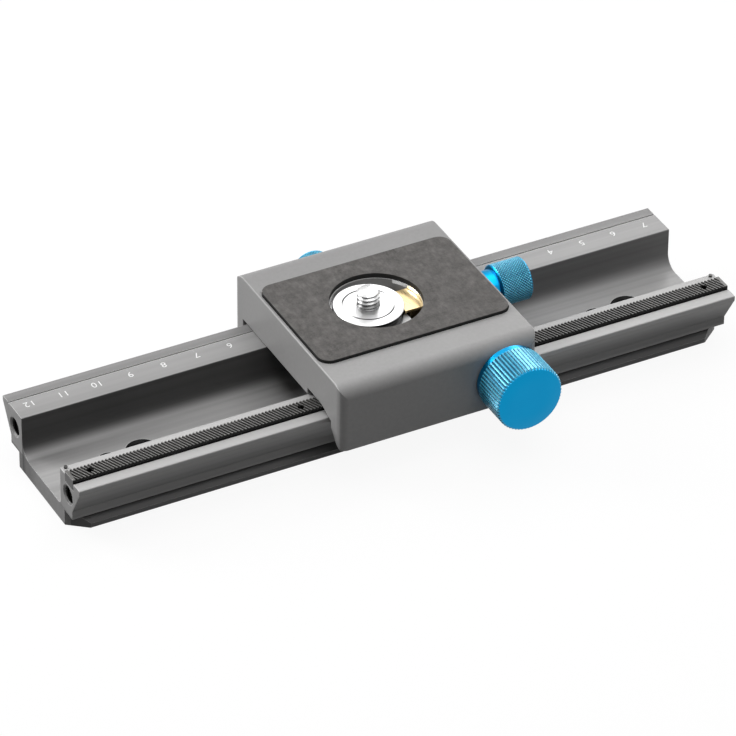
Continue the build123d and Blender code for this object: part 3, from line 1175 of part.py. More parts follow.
with BuildPart() as camera_disc:
    with BuildSketch(DISC_SECTION):
        with BuildLine():
            Polyline(
                (0, DISC_LOW),
                (DISC_FOOT_R, DISC_LOW),
                (DISC_FOOT_R, DISC_FOOT_TOP),
                (DISC_WAIST_R, DISC_WAIST_LOW),
                (DISC_WAIST_R, DISC_WAIST_TOP),
                (DISC_R, DISC_TOP - DISC_RIM),
                (DISC_R, DISC_TOP - DISC_EDGE),
                (DISC_R - DISC_EDGE, DISC_TOP),
                (0, DISC_TOP),
                close=True,
            )
        make_face()
        with Locations((DISC_GROOVE_R, DISC_TOP)):
            Rectangle(DISC_GROOVE_WIDTH, DISC_GROOVE_DEPTH, align=MIDDLE_HIGH, mode=Mode.SUBTRACT)
        with Locations((0, DISC_LOW)):
            Rectangle(
                STUD_HEAD_R + RUNNING,
                STUD_HEAD_TOP + RUNNING - DISC_LOW,
                align=LOW_CORNER,
                mode=Mode.SUBTRACT,
            )
            Rectangle(STUD_R + RUNNING, DISC_TOP - DISC_LOW, align=LOW_CORNER, mode=Mode.SUBTRACT)
        with Locations((0, SNAP_GROOVE_LOW)):
            Rectangle(
                SNAP_GROOVE_R,
                SNAP_GROOVE_TOP - SNAP_GROOVE_LOW,
                align=LOW_CORNER,
                mode=Mode.SUBTRACT,
            )
    revolve(axis=DISC_AXIS)
camera_disc.part.label = "camera_disc"
export_step(camera_disc.part, "parts/camera_disc.step")

snap_low = (SNAP_GROOVE_LOW + SNAP_GROOVE_TOP - SNAP_RING) / 2
with BuildPart() as stud_ring:
    with BuildSketch(Plane.XY.offset(snap_low)):
        with Locations((DISC_X, 0)):
            Circle(SNAP_RING_OUT_R)
            Circle(SNAP_RING_IN_R, mode=Mode.SUBTRACT)
            Rectangle(SNAP_RING_OUT_R, STUD_HEAD, align=LEFT_MIDDLE, mode=Mode.SUBTRACT)
    extrude(amount=SNAP_RING)
stud_ring.part.label = "stud_ring"
export_step(stud_ring.part, "parts/stud_ring.step")

with BuildPart() as camera_stud:
    with BuildSketch(DISC_SECTION):
        with BuildLine():
            Polyline(
                (0, STUD_HEAD_TOP - STUD_HEAD),
                (STUD_HEAD_R, STUD_HEAD_TOP - STUD_HEAD),
                (STUD_HEAD_R, STUD_HEAD_TOP),
                (STUD_NECK_R, STUD_HEAD_TOP),
                (STUD_NECK_R, DISC_TOP + STUD_NECK_PROUD),
                (STUD_R, DISC_TOP + STUD_NECK_PROUD),
                (STUD_R, DISC_TOP + STUD_PROUD - STUD_CHAMFER),
                (STUD_R - STUD_CHAMFER, DISC_TOP + STUD_PROUD),
                (0, DISC_TOP + STUD_PROUD),
                close=True,
            )
        make_face()
    revolve(axis=DISC_AXIS)
    with BuildSketch(Plane.XY.offset(STUD_HEAD_TOP - STUD_HEAD)):
        with Locations((DISC_X, 0)):
            Rectangle(COIN_SLOT_WIDTH, 2 * STUD_HEAD_R)
    extrude(amount=COIN_SLOT_DEPTH, mode=Mode.SUBTRACT)
camera_stud.part.label = "camera_stud"
export_step(camera_stud.part, "parts/camera_stud.step")
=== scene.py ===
import json
from math import cos, pi, radians, sin

import bpy
from mathutils import Matrix, Vector


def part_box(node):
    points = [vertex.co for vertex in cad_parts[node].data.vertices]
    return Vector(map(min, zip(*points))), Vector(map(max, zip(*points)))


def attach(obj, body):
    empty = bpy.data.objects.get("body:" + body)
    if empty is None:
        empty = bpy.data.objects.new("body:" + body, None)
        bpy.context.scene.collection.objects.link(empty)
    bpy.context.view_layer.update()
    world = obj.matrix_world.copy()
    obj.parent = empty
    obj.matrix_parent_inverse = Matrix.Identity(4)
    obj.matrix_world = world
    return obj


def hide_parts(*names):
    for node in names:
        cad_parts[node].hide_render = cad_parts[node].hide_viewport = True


# Macro focusing rail: materials, knurls, threads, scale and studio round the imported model.
# Metres. X runs right along the rail, Y away from the focus knob, Z up.

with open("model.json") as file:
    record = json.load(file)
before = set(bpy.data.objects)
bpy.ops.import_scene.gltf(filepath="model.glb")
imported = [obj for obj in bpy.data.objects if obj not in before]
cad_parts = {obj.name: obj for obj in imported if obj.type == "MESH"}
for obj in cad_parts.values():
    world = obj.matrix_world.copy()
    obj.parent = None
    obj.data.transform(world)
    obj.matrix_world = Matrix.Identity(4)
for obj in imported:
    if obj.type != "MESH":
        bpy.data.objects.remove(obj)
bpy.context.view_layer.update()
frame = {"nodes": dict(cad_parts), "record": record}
MM = 0.001


def box(node):
    """Lowest and highest corner of a CAD node, as vectors."""
    low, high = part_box(node)
    return Vector(low), Vector(high)


rail_low, rail_high = box("rail")
rack_low, rack_high = box("gear_rack")
drive_low, drive_high = box("drive_knob")
clamp_low, clamp_high = box("clamp_knob")
stud_low, stud_high = box("camera_stud")
disc_low, disc_high = box("camera_disc")
block_left = box("carriage_body")[0].x
pad_top = box("top_pad")[1].z
shoe_top = box("clamp_shoe")[1].z
stud_centre = Vector(((stud_low.x + stud_high.x) / 2, (stud_low.y + stud_high.y) / 2, 0.0))
disc_radius = (disc_high.x - disc_low.x) / 2


# ---- Node helpers ----

class Graph:
    """A node tree, with short calls that add nodes and join them."""

    def __init__(self, tree):
        self.tree = tree

    def add(self, kind, **settings):
        node = self.tree.nodes.new(kind)
        for key, value in settings.items():
            setattr(node, key, value)
        return node

    def link(self, value, socket):
        """Joins a node's output to a socket, or sets the socket to a constant."""
        if isinstance(value, bpy.types.NodeSocket):
            self.tree.links.new(value, socket)
        else:
            socket.default_value = value

    def math(self, operation, first, second=0.0):
        node = self.add("ShaderNodeMath", operation=operation)
        self.link(first, node.inputs[0])
        self.link(second, node.inputs[1])
        return node.outputs[0]

    def place(self):
        return self.add("ShaderNodeTexCoord").outputs["Object"]

    def product(self, first, *others):
        for other in others:
            first = self.math("MULTIPLY", first, other)
        return first

    def spread(self, value, low, high, start=0.0, end=1.0):
        """Runs from low to high while the value runs from start to end, and stays there past them."""
        node = self.add("ShaderNodeMapRange")
        self.link(value, node.inputs["Value"])
        node.inputs["From Min"].default_value = start
        node.inputs["From Max"].default_value = end
        node.inputs["To Min"].default_value = low
        node.inputs["To Max"].default_value = high
        return node.outputs["Result"]

    def rising(self, value, start, end):
        """A mask that is 0 up to start and 1 past end."""
        return self.spread(value, 0.0, 1.0, start, end)

    def falling(self, value, start, end):
        """A mask that is 1 up to start and 0 past end."""
        return self.spread(value, 1.0, 0.0, start, end)

    def outside(self, mask):
        """1 where the mask is 0, and 0 where it is 1."""
        return self.falling(mask, 0.0, 1.0)

    def where(self, mask, tone):
        """1 where the mask is 0, and the tone where it is 1."""
        node = self.add("ShaderNodeMix", data_type="FLOAT")
        self.link(mask, node.inputs[0])
        node.inputs[2].default_value = 1.0
        self.link(tone, node.inputs[3])
        return node.outputs[0]

    def mix(self, factor, first, second):
        node = self.add("ShaderNodeMix", data_type="RGBA")
        self.link(factor, node.inputs["Factor"])
        self.link(first, node.inputs[6])
        self.link(second, node.inputs[7])
        return node.outputs[2]

    def axis(self, name):
        split = self.add("ShaderNodeSeparateXYZ")
        self.link(self.place(), split.inputs[0])
        return split.outputs[name]

    def noise(self, scale, detail=2.0, stretch=(1.0, 1.0, 1.0), roughness=0.5):
        """Noise in object space; scale counts features in a metre."""
        mapping = self.add("ShaderNodeMapping")
        self.link(self.place(), mapping.inputs["Vector"])
        mapping.inputs["Scale"].default_value = stretch
        texture = self.add("ShaderNodeTexNoise")
        self.link(mapping.outputs["Vector"], texture.inputs["Vector"])
        texture.inputs["Scale"].default_value = scale
        texture.inputs["Detail"].default_value = detail
        texture.inputs["Roughness"].default_value = roughness
        return texture.outputs["Fac"]


EDGE_LEAN = (0.80, 0.99)
BEVEL_SAMPLES = 6


class Shader(Graph):
    """A material with one Principled shader, and short calls for its surface."""

    def __init__(self, name, **constants):
        self.material = bpy.data.materials.new(name)
        self.material.use_nodes = True
        super().__init__(self.material.node_tree)
        self.shader = self.tree.nodes["Principled BSDF"]
        for socket, value in constants.items():
            self.shader.inputs[socket.replace("_", " ")].default_value = value

    def feed(self, socket, value):
        self.link(value, self.shader.inputs[socket])

    def bump(self, height, distance, strength=1.0, normal=None):
        node = self.add("ShaderNodeBump")
        self.link(height, node.inputs["Height"])
        node.inputs["Distance"].default_value = distance
        node.inputs["Strength"].default_value = strength
        if normal is not None:
            self.link(normal, node.inputs["Normal"])
        return node.outputs["Normal"]

    def round_edges(self, radius):
        node = self.add("ShaderNodeBevel", samples=BEVEL_SAMPLES)
        node.inputs["Radius"].default_value = radius
        return node.outputs["Normal"]

    def edge_mask(self, radius):
        """1 along edges and 0 on flats, from how far the rounded normal leans off the face."""
        lean = self.add("ShaderNodeVectorMath", operation="DOT_PRODUCT")
        self.link(self.round_edges(radius), lean.inputs[0])
        self.link(self.add("ShaderNodeNewGeometry").outputs["Normal"], lean.inputs[1])
        return self.falling(lean.outputs["Value"], *EDGE_LEAN)

    def reach_from(self, centre):
        """Distance from an upright axis, and the angle round it."""
        offset = self.add("ShaderNodeVectorMath", operation="SUBTRACT")
        self.link(self.place(), offset.inputs[0])
        offset.inputs[1].default_value = (centre.x, centre.y, 0.0)
        flat = self.add("ShaderNodeVectorMath", operation="MULTIPLY")
        self.link(offset.outputs[0], flat.inputs[0])
        flat.inputs[1].default_value = (1.0, 1.0, 0.0)
        reach = self.add("ShaderNodeVectorMath", operation="LENGTH")
        self.link(flat.outputs[0], reach.inputs[0])
        split = self.add("ShaderNodeSeparateXYZ")
        self.link(flat.outputs[0], split.inputs[0])
        return reach.outputs["Value"], self.math("ARCTAN2", split.outputs["Y"], split.outputs["X"])

    def layer(self, name):
        """A number kept on a piece's points: "groove" is its depth there, from 0 to 1, and "knurl"
        is 1 where the piece is knurled."""
        return self.add("ShaderNodeAttribute", attribute_name=name).outputs["Fac"]


def grey(value):
    return (value, value, value, 1.0)


# ---- Materials ----

GREY_EDGE = 0.28 * MM
SOFT_EDGE = 0.15 * MM
STEEL_EDGE = 0.12 * MM
RUBBED_EDGE = 0.08 * MM
BLACK_EDGE = 0.06 * MM
FINE_RELIEF = 0.004 * MM
FAINT_RELIEF = 0.003 * MM
LATHE_RELIEF = 0.002 * MM

# Painted edge highlights: pale on faces painted pale, and none in painted shade.
GREY_HIGHLIGHT = (0.0, 0.80)
GREY_HIGHLIGHT_SHADES = (0.2, 0.7)
GREY_EDGE_HIGHLIGHT = grey(0.85)
GREY_TINT = {"Red": 1.0, "Green": 0.99, "Blue": 0.985}


def anodised_grey(name, base, stretch, banding, shades):
    """Satin anodised aluminium: fine bloom and streaks, painted edge highlights, and painted light and
    shade.
    """
    s = Shader(name, Metallic=0.05, IOR=1.5, Specular_IOR_Level=0.12)
    streak = s.noise(scale=900.0, detail=3.0, stretch=stretch)
    cloud = s.noise(scale=45.0, detail=2.0)
    band = s.noise(scale=420.0, detail=1.0, stretch=stretch)
    tone = s.math("ADD", s.spread(streak, -0.08, 0.08), s.spread(cloud, -0.05, 0.05))
    tone = s.math("ADD", tone, s.spread(band, -banding, banding, 0.25, 0.75))
    shade = shades(s)
    level = s.product(s.math("ADD", tone, 1.0), base, shade)
    colour = s.add("ShaderNodeCombineColor")
    for channel, tint in GREY_TINT.items():
        s.link(s.product(level, tint), colour.inputs[channel])
    # Pale edges are a painted highlight, strong where the painted shade leaves the face pale.
    wear_and_highlight = s.spread(shade, *GREY_HIGHLIGHT, *GREY_HIGHLIGHT_SHADES)
    edges = s.product(s.edge_mask(GREY_EDGE), wear_and_highlight)
    s.feed("Base Color", s.mix(edges, colour.outputs[0], GREY_EDGE_HIGHLIGHT))
    s.feed("Roughness", s.spread(streak, 0.36, 0.48))
    normal = s.bump(streak, FINE_RELIEF, strength=0.5, normal=s.round_edges(GREY_EDGE))
    grain = s.noise(scale=9000.0, detail=2.0)
    s.feed("Normal", s.bump(grain, FINE_RELIEF, strength=0.5, normal=normal))
    return s.material


BLUE_DEEP = (0.0, 0.230, 0.47, 1.0)
BLUE_CLEAR = (0.0, 0.260, 0.51, 1.0)
RIDGE_DEEP = (0.008, 0.260, 0.44, 1.0)
RIDGE_PALE = (0.035, 0.380, 0.55, 1.0)
BLUE_EDGE_HIGHLIGHT = (0.25, 0.62, 0.80, 1.0)
BLUE_GROOVE_SHADE = (0.0, 0.026, 0.046, 1.0)


def anodised_blue(name):
    """Blue anodised aluminium: glossy on plain faces, paler and softer on a knurl's ridges, with
    painted shade in its grooves and painted highlights on its edges."""
    s = Shader(name, IOR=1.5, Coat_Roughness=0.30)
    knurl = s.layer("knurl")
    plain = s.mix(s.noise(scale=120.0, detail=2.0), BLUE_DEEP, BLUE_CLEAR)
    mottle = s.rising(s.noise(scale=900.0, detail=3.0), 0.35, 0.65)
    colour = s.mix(knurl, plain, s.mix(mottle, RIDGE_DEEP, RIDGE_PALE))
    # Pale edges are a painted highlight.
    edges = s.product(s.edge_mask(STEEL_EDGE), 0.45)
    colour = s.mix(edges, colour, BLUE_EDGE_HIGHLIGHT)
    # Painted shade in the knurl's grooves, by their depth.
    groove = s.product(s.layer("groove"), 0.86)
    s.feed("Base Color", s.mix(groove, colour, BLUE_GROOVE_SHADE))
    s.feed("Metallic", s.spread(knurl, 1.0, 0.45))
    s.feed("Coat Weight", s.spread(knurl, 0.08, 0.50))
    s.feed("Roughness", s.spread(s.noise(scale=2500.0, detail=2.0), 0.26, 0.38))
    s.feed("Normal", s.bump(s.noise(scale=7000.0), FAINT_RELIEF, strength=0.5))
    return s.material


BLACK_TINT = (1.0, 0.96, 0.90)
BLACK_SHADE = grey(0.003)


def blackened_steel(name, low, high, edge, shades=None, gloss=0.5):
    """Blackened steel with pale edges, partly rubbed wear and partly painted highlight, and painted
    shade where asked.
    """
    s = Shader(name, Metallic=0.5, IOR=1.5, Specular_IOR_Level=gloss)
    cloud = s.noise(scale=300.0, detail=3.0)
    # Pale edges: partly rubbed wear, partly a painted highlight.
    edges = s.product(s.edge_mask(RUBBED_EDGE), 0.6)
    warm = (*(high * tint for tint in BLACK_TINT), 1.0)
    dark = s.mix(cloud, grey(low), warm)
    colour = s.mix(edges, dark, grey(edge))
    # Painted shade, where a shades mask is given.
    if shades is not None:
        colour = s.mix(shades(s), BLACK_SHADE, colour)
    s.feed("Base Color", colour)
    s.feed("Roughness", s.spread(cloud, 0.30, 0.45))
    grain = s.noise(scale=5000.0)
    s.feed("Normal", s.bump(grain, FAINT_RELIEF, strength=0.6, normal=s.round_edges(BLACK_EDGE)))
    return s.material


def turned_steel(name, base, low, high, shade=None):
    """Turned steel, with scratches and, where asked for, rings and painted light and shade."""
    s = Shader(name, Metallic=1.0)
    wear = s.noise(scale=700.0, detail=3.0)
    colour = s.mix(wear, grey(base * 0.90), grey(base))
    normal = s.round_edges(STEEL_EDGE)
    if shade is not None:
        colour, normal = shade(s, colour, normal)
    s.feed("Base Color", colour)
    s.feed("Roughness", s.spread(wear, low, high))
    s.feed("Normal", s.bump(wear, FINE_RELIEF, strength=0.3, normal=normal))
    return s.material


def blasted_steel(name):
    """Pale matt steel."""
    s = Shader(name, Metallic=0.25, IOR=1.5)
    grain = s.noise(scale=1500.0, detail=3.0)
    s.feed("Base Color", s.mix(grain, grey(0.86), grey(0.96)))
    s.feed("Roughness", s.spread(grain, 0.38, 0.50))
    s.feed("Normal", s.bump(grain, FINE_RELIEF, strength=0.4, normal=s.round_edges(STEEL_EDGE)))
    return s.material


BRASS_DEEP = (0.80, 0.60, 0.30, 1.0)
BRASS_PALE = (0.90, 0.70, 0.40, 1.0)
BRASS_SIDE_SHADE = (0.05, 0.03, 0.015, 1.0)
SHOE_SIDE = (shoe_top - 0.9 * MM, shoe_top - 0.3 * MM)


def machined_brass(name):
    """Machined brass, with painted shade on its sides below the clamp shoe's bright top."""
    s = Shader(name, Metallic=1.0)
    streak = s.noise(scale=1500.0, detail=2.0, stretch=(1.0, 0.15, 1.0))
    bright = s.mix(streak, BRASS_DEEP, BRASS_PALE)
    # Painted shade on the shoe's sides below its top.
    side = s.falling(s.axis("Z"), *SHOE_SIDE)
    s.feed("Base Color", s.mix(s.product(side, 0.90), bright, BRASS_SIDE_SHADE))
    s.feed("Roughness", s.spread(streak, 0.22, 0.36))
    s.feed("Normal", s.bump(streak, FINE_RELIEF, strength=0.5, normal=s.round_edges(SOFT_EDGE)))
    return s.material


PAD_DARK = (0.046, 0.043, 0.041, 1.0)
PAD_PALE = (0.100, 0.095, 0.091, 1.0)
PAD_WEAVE = (0.034, 0.032, 0.031, 1.0)
PAD_FLECK = (0.125, 0.120, 0.116, 1.0)
PAD_SIDE_SHADE = grey(0.008)
PAD_TOP = (pad_top - 0.17 * MM, pad_top - 0.07 * MM)
PAD_BLOTCHES = 0.03 * MM
PAD_GRAIN = 0.02 * MM


def grip_pad(name):
    """Matte pad with a pressed, mottled weave on its top, and sides painted near black as shade."""
    s = Shader(name, IOR=1.45, Specular_IOR_Level=0.3)
    blotch = s.noise(scale=330.0, detail=6.0, roughness=0.72)
    fine = s.noise(scale=1900.0, detail=4.0, roughness=0.75)
    woven = s.noise(scale=900.0, detail=3.0, stretch=(1.0, 0.35, 1.0))
    colour = s.mix(s.rising(blotch, 0.36, 0.64), PAD_DARK, PAD_PALE)
    colour = s.mix(s.spread(woven, 0.0, 0.5, 0.40, 0.66), colour, PAD_WEAVE)
    colour = s.mix(s.spread(fine, 0.0, 0.5, 0.45, 0.75), colour, PAD_FLECK)
    # Painted shade: the pad's sides are near black.
    top = s.rising(s.axis("Z"), *PAD_TOP)
    s.feed("Base Color", s.mix(top, PAD_SIDE_SHADE, colour))
    s.feed("Roughness", s.spread(fine, 0.62, 0.85))
    normal = s.bump(blotch, PAD_BLOTCHES, strength=0.7, normal=s.round_edges(SOFT_EDGE))
    s.feed("Normal", s.bump(fine, PAD_GRAIN, strength=0.7, normal=normal))
    return s.material


def black_plastic(name):
    """Matte black plastic with a slight cloud."""
    s = Shader(name, IOR=1.45)
    cloud = s.noise(scale=500.0, detail=3.0)
    s.feed("Base Color", s.mix(cloud, grey(0.018), grey(0.034)))
    s.feed("Roughness", s.spread(cloud, 0.45, 0.60))
    grain = s.noise(scale=6000.0)
    s.feed("Normal", s.bump(grain, FINE_RELIEF, strength=0.5, normal=s.round_edges(SOFT_EDGE)))
    return s.material


def engraved_paint(name, base):
    """Matte paint of the scale, a little worn."""
    s = Shader(name, IOR=1.45)
    wear_and_highlight = s.noise(scale=5000.0, detail=3.0)
    s.feed("Base Color", s.mix(s.rising(wear_and_highlight, 0.35, 0.65), grey(base * 0.72), grey(base)))
    s.feed("Roughness", s.spread(wear_and_highlight, 0.5, 0.7))
    return s.material


# ---- Painted light and shade on the rail, by place on its section and along it ----

# Each pair is the stretch over which a mask turns from 0 to 1 or back, or over which a tone changes.
CHANNEL_FLOOR = 5.4 * MM
TOP_FACES = (rail_high.z - 0.07 * MM, rail_high.z - 0.03 * MM)
END_FACES = (rail_high.x - 0.2 * MM, rail_high.x - 0.1 * MM)
FRONT_WAY_EDGE = (-12.0 * MM, -10.0 * MM)
FLOOR_LEVEL = (CHANNEL_FLOOR + 0.1 * MM, CHANNEL_FLOOR + 0.3 * MM)
HOLE_MOUTHS = (CHANNEL_FLOOR - 0.08 * MM, CHANNEL_FLOOR - 0.02 * MM)
HOLE_REACH = (5.0 * MM, 5.2 * MM)
REAR_WALL_FOOT = (10.0 * MM, 11.8 * MM)
REAR_WALL_FACE = (12.3 * MM, 12.5 * MM)
REAR_WALL_RUN = (-30.0 * MM, 100.0 * MM)
LIP_START = (20.3 * MM, 20.9 * MM)
FOOT_SIDE = (15.4 * MM, 15.6 * MM)
FOOT_LEVEL = (4.5 * MM, 5.0 * MM)
FLANK_SIDE = (-16.0 * MM, -15.5 * MM)
FLANK_START = (7.55 * MM, 7.65 * MM)
FLANK_HEIGHT = (7.6 * MM, 16.2 * MM)
FLANK_RUN = (-60.0 * MM, 90.0 * MM)
CORNER_ACROSS = (2.0 * MM, 8.0 * MM)
CORNER_RUN = (-100.0 * MM, -45.0 * MM)

# Tones above 1 are painted light and tones below 1 painted shade, on the rail's base colour.
FRONT_WAY_TONE = 1.46
FLOOR_TONE = 1.24
LIP_TONE = 0.80
HOLE_TONE = 0.01
FOOT_TONE = 0.42
END_FLOOR_TONE = 0.62
CORNER_TONE = 0.58
REAR_WALL_TONES = (0.26, 0.62)
FLANK_TONES = (0.62, 1.50)
FLANK_RUN_TONES = (0.92, 1.10)
FLANK_CURVE = 1.7


def rail_shades(s):
    """Painted light and shade: the front way and the channel floor are painted paler; painted shade
    darkens the holes, the rear wall and its outer lip, the foot's sides, the ends below the floor and
    the floor's rear left corner. The front flank is painted paler from its lower edge to its upper
    one."""
    x, y, z = (s.axis(name) for name in "XYZ")
    from_middle = s.math("ABSOLUTE", y)
    top = s.rising(z, *TOP_FACES)
    sides = s.outside(top)
    ends = s.rising(s.math("ABSOLUTE", x), *END_FACES)
    along = s.outside(ends)
    floor = s.falling(z, *FLOOR_LEVEL)
    front_way = s.product(top, s.falling(y, *FRONT_WAY_EDGE))
    wall = s.product(s.rising(y, *REAR_WALL_FOOT), s.falling(y, *REAR_WALL_FACE), sides)
    lip = s.product(top, s.rising(y, *LIP_START))
    hole = s.product(s.falling(from_middle, *HOLE_REACH), s.falling(z, *HOLE_MOUTHS), along)
    foot = s.product(s.rising(from_middle, *FOOT_SIDE), s.falling(z, *FOOT_LEVEL))
    flank = s.product(s.falling(y, *FLANK_SIDE), sides, s.rising(z, *FLANK_START), along)
    corner = s.product(s.rising(y, *CORNER_ACROSS), s.falling(x, *CORNER_RUN), floor)

    rise = s.math("POWER", s.rising(z, *FLANK_HEIGHT), FLANK_CURVE)
    flank_tone = s.product(s.spread(rise, *FLANK_TONES), s.spread(x, *FLANK_RUN_TONES, *FLANK_RUN))
    wall_tone = s.spread(x, *REAR_WALL_TONES, *REAR_WALL_RUN)
    # Each place with the painted light or painted shade that it gets.
    tones = (
        (front_way, FRONT_WAY_TONE),
        (floor, FLOOR_TONE),
        (lip, LIP_TONE),
        (hole, HOLE_TONE),
        (foot, FOOT_TONE),
        (s.product(ends, floor), END_FLOOR_TONE),
        (corner, CORNER_TONE),
        (flank, flank_tone),
        (wall, wall_tone),
    )
    return s.product(*(s.where(mask, tone) for mask, tone in tones))


# ---- Painted light and shade on the other parts ----

# Painted light on the carriage's left end, and painted shade towards its rear.
BLOCK_LEFT_FACE = (block_left + 0.3 * MM, block_left + 0.5 * MM)
BLOCK_LEFT_TONE = 1.38
BLOCK_ACROSS = (-22.0 * MM, 26.0 * MM)
BLOCK_ACROSS_TONES = (1.03, 0.84)


def block_shades(s):
    """Painted light and shade on the carriage: darker away from the focus knob, paler on its left end.
    """
    left = s.spread(s.axis("X"), BLOCK_LEFT_TONE, 1.0, *BLOCK_LEFT_FACE)
    return s.product(left, s.spread(s.axis("Y"), *BLOCK_ACROSS_TONES, *BLOCK_ACROSS))


# Painted shade on the rack: near black in the valleys and on the side, darker in the right half.
RACK_TOOTH = (rack_high.z - 0.42 * MM, rack_high.z - 0.05 * MM)
RACK_SIDE = (rack_low.y + 0.04 * MM, rack_low.y + 0.10 * MM)
RACK_RUN = (0.0, 50.0 * MM)
RACK_VALLEY_TONE = 0.12
RACK_SIDE_TONE = 0.06
RACK_RIGHT_TONE = 0.68


def rack_shades(s):
    """Painted shade between the teeth, on the side towards the lip, and over the right half."""
    valley = s.spread(s.axis("Z"), RACK_VALLEY_TONE, 1.0, *RACK_TOOTH)
    side = s.spread(s.axis("Y"), RACK_SIDE_TONE, 1.0, *RACK_SIDE)
    run = s.spread(s.axis("X"), 1.0, RACK_RIGHT_TONE, *RACK_RUN)
    return s.product(valley, side, run)


RING_RADIUS = disc_radius - 2.8 * MM
RING_WIDTH = (0.18 * MM, 0.32 * MM)
DISC_SIDE = (disc_high.z - 0.38 * MM, disc_high.z - 0.30 * MM)
LATHE_RINGS = 6000.0
RING_STRENGTHS = (1.0, 0.15)
RING_TURN = (0.2, 0.75)
# Painted shade for the ring groove and for the disc's sides under the rim.
RING_PAINTED_SHADE = grey(0.12)
SIDE_PAINTED_SHADE = grey(0.03)


def disc_shade(s, colour, normal):
    """Turned rings as bumps; the ring groove and the sides under the rim are painted shade, the
    groove's strength changing round the disc as a painted reflection.
    """
    reach, turn = s.reach_from(stud_centre)
    rings = s.add("ShaderNodeTexNoise", noise_dimensions="1D")
    s.link(reach, rings.inputs["W"])
    rings.inputs["Scale"].default_value = LATHE_RINGS
    rings.inputs["Detail"].default_value = 2.0
    normal = s.bump(rings.outputs["Fac"], LATHE_RELIEF, strength=0.5, normal=normal)
    off = s.math("ABSOLUTE", s.math("SUBTRACT", reach, RING_RADIUS))
    line = s.falling(off, *RING_WIDTH)
    # Painted reflection: the groove's painted shade is strong on two opposite sides and faint between
    # them.
    twice_round = s.math("COSINE", s.product(turn, 2.0))
    strength = s.spread(twice_round, *RING_STRENGTHS, *RING_TURN)
    colour = s.mix(s.product(line, strength), colour, RING_PAINTED_SHADE)
    return s.mix(s.falling(s.axis("Z"), *DISC_SIDE), colour, SIDE_PAINTED_SHADE), normal


# Painted shade on the stud: darker towards the disc, and near black in the thread's roots.
THREAD_RISE = (disc_high.z + 1.0 * MM, stud_high.z - 1.4 * MM)
THREAD_FOOT = grey(0.10)
THREAD_FOOT_SHARE = 0.10
THREAD_ROOT = grey(0.02)
THREAD_ROOT_SHARE = 0.95


def thread_shade(s, colour, normal):
    """Bright tip, darker towards the disc as a painted reflection of the dark pad around it, and
    painted shade on the flanks between the crests.
    """
    rise = s.spread(s.axis("Z"), THREAD_FOOT_SHARE, 1.0, *THREAD_RISE)
    colour = s.mix(rise, THREAD_FOOT, colour)
    groove = s.product(s.layer("groove"), THREAD_ROOT_SHARE)
    return s.mix(groove, colour, THREAD_ROOT), normal


# ---- The finishes, and which node carries which ----

ALONG_RAIL = (0.012, 1.0, 1.0)
ALL_WAYS = (1.0, 1.0, 1.0)
rail_grey = anodised_grey("grey_anodised_extrusion", 0.26, ALONG_RAIL, 0.10, rail_shades)
block_grey = anodised_grey("grey_anodised_block", 0.26, ALL_WAYS, 0.0, block_shades)
blue = anodised_blue("blue_anodised")
black_steel = blackened_steel("black_steel", 0.022, 0.045, 0.30)
rack_steel = blackened_steel("rack_steel", 0.075, 0.135, 0.60, rack_shades)
# Rack screws deep in their holes, painted near black as shade.
sunk_screw_shade = blackened_steel("sunk_screw_shade", 0.003, 0.008, 0.02, gloss=0.05)
# Threads in the rail's holes, painted near black as the shade inside the holes.
thread_black = blackened_steel("thread_black", 0.004, 0.012, 0.07, gloss=0.10)
polished = turned_steel("polished_steel", 0.88, 0.26, 0.36, disc_shade)
stud_steel = turned_steel("stud_steel", 0.80, 0.22, 0.32, thread_shade)
plain_steel = turned_steel("plain_steel", 0.72, 0.18, 0.30)
plate_steel = blasted_steel("plate_steel")
brass = machined_brass("brass")
pad = grip_pad("pad_grain")
plastic = black_plastic("black_plastic")
paint = engraved_paint("scale_paint", 0.80)
faint_paint = engraved_paint("tick_paint", 0.36)

SLOT_FINISH = {
    "grey_anodised": block_grey,
    "blue_anodised": blue,
    "black_steel": black_steel,
    "plain_steel": plain_steel,
    "brass": brass,
    "pad_rubber": pad,
    "black_plastic": plastic,
}
NODE_FINISH = {
    "rail": rail_grey,
    "camera_disc": polished,
    "gear_rack": rack_steel,
    "rack_screws": sunk_screw_shade,
    "support_plate": plate_steel,
}
slot_of = {part["node"]: part["material_slot"] for part in frame["record"]["subparts"]}
for node, cad in frame["nodes"].items():
    cad.data.materials.clear()
    cad.data.materials.append(NODE_FINISH.get(node, SLOT_FINISH[slot_of[node]]))


# ---- Mesh helpers ----

def mesh_piece(name, vertices, faces, material, body, smooth_angle=35.0, layers=None):
    """A mesh that rides on a body. Edges sharper than the angle, in degrees, stay sharp."""
    mesh = bpy.data.meshes.new(name)
    mesh.from_pydata([tuple(v) for v in vertices], [], faces)
    mesh.validate()
    mesh.update()
    mesh.materials.append(material)
    for layer_name, values in (layers or {}).items():
        layer = mesh.attributes.new(layer_name, "FLOAT", "POINT")
        layer.data.foreach_set("value", values)
    piece = bpy.data.objects.new(name, mesh)
    bpy.context.scene.collection.objects.link(piece)
    mesh.shade_smooth()
    mesh.set_sharp_from_angle(angle=radians(smooth_angle))
    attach(piece, body)
    return piece


class Axis:
    """A line with two directions across it, to place round things."""

    def __init__(self, origin, along):
        self.origin = Vector(origin)
        self.along = Vector(along).normalized()
        helper = Vector((0, 0, 1)) if abs(self.along.z) < 0.9 else Vector((1, 0, 0))
        self.right = helper.cross(self.along).normalized()
        self.up = self.along.cross(self.right)

    def point(self, run, radius, angle):
        across = self.right * cos(angle) + self.up * sin(angle)
        return self.origin + self.along * run + across * radius


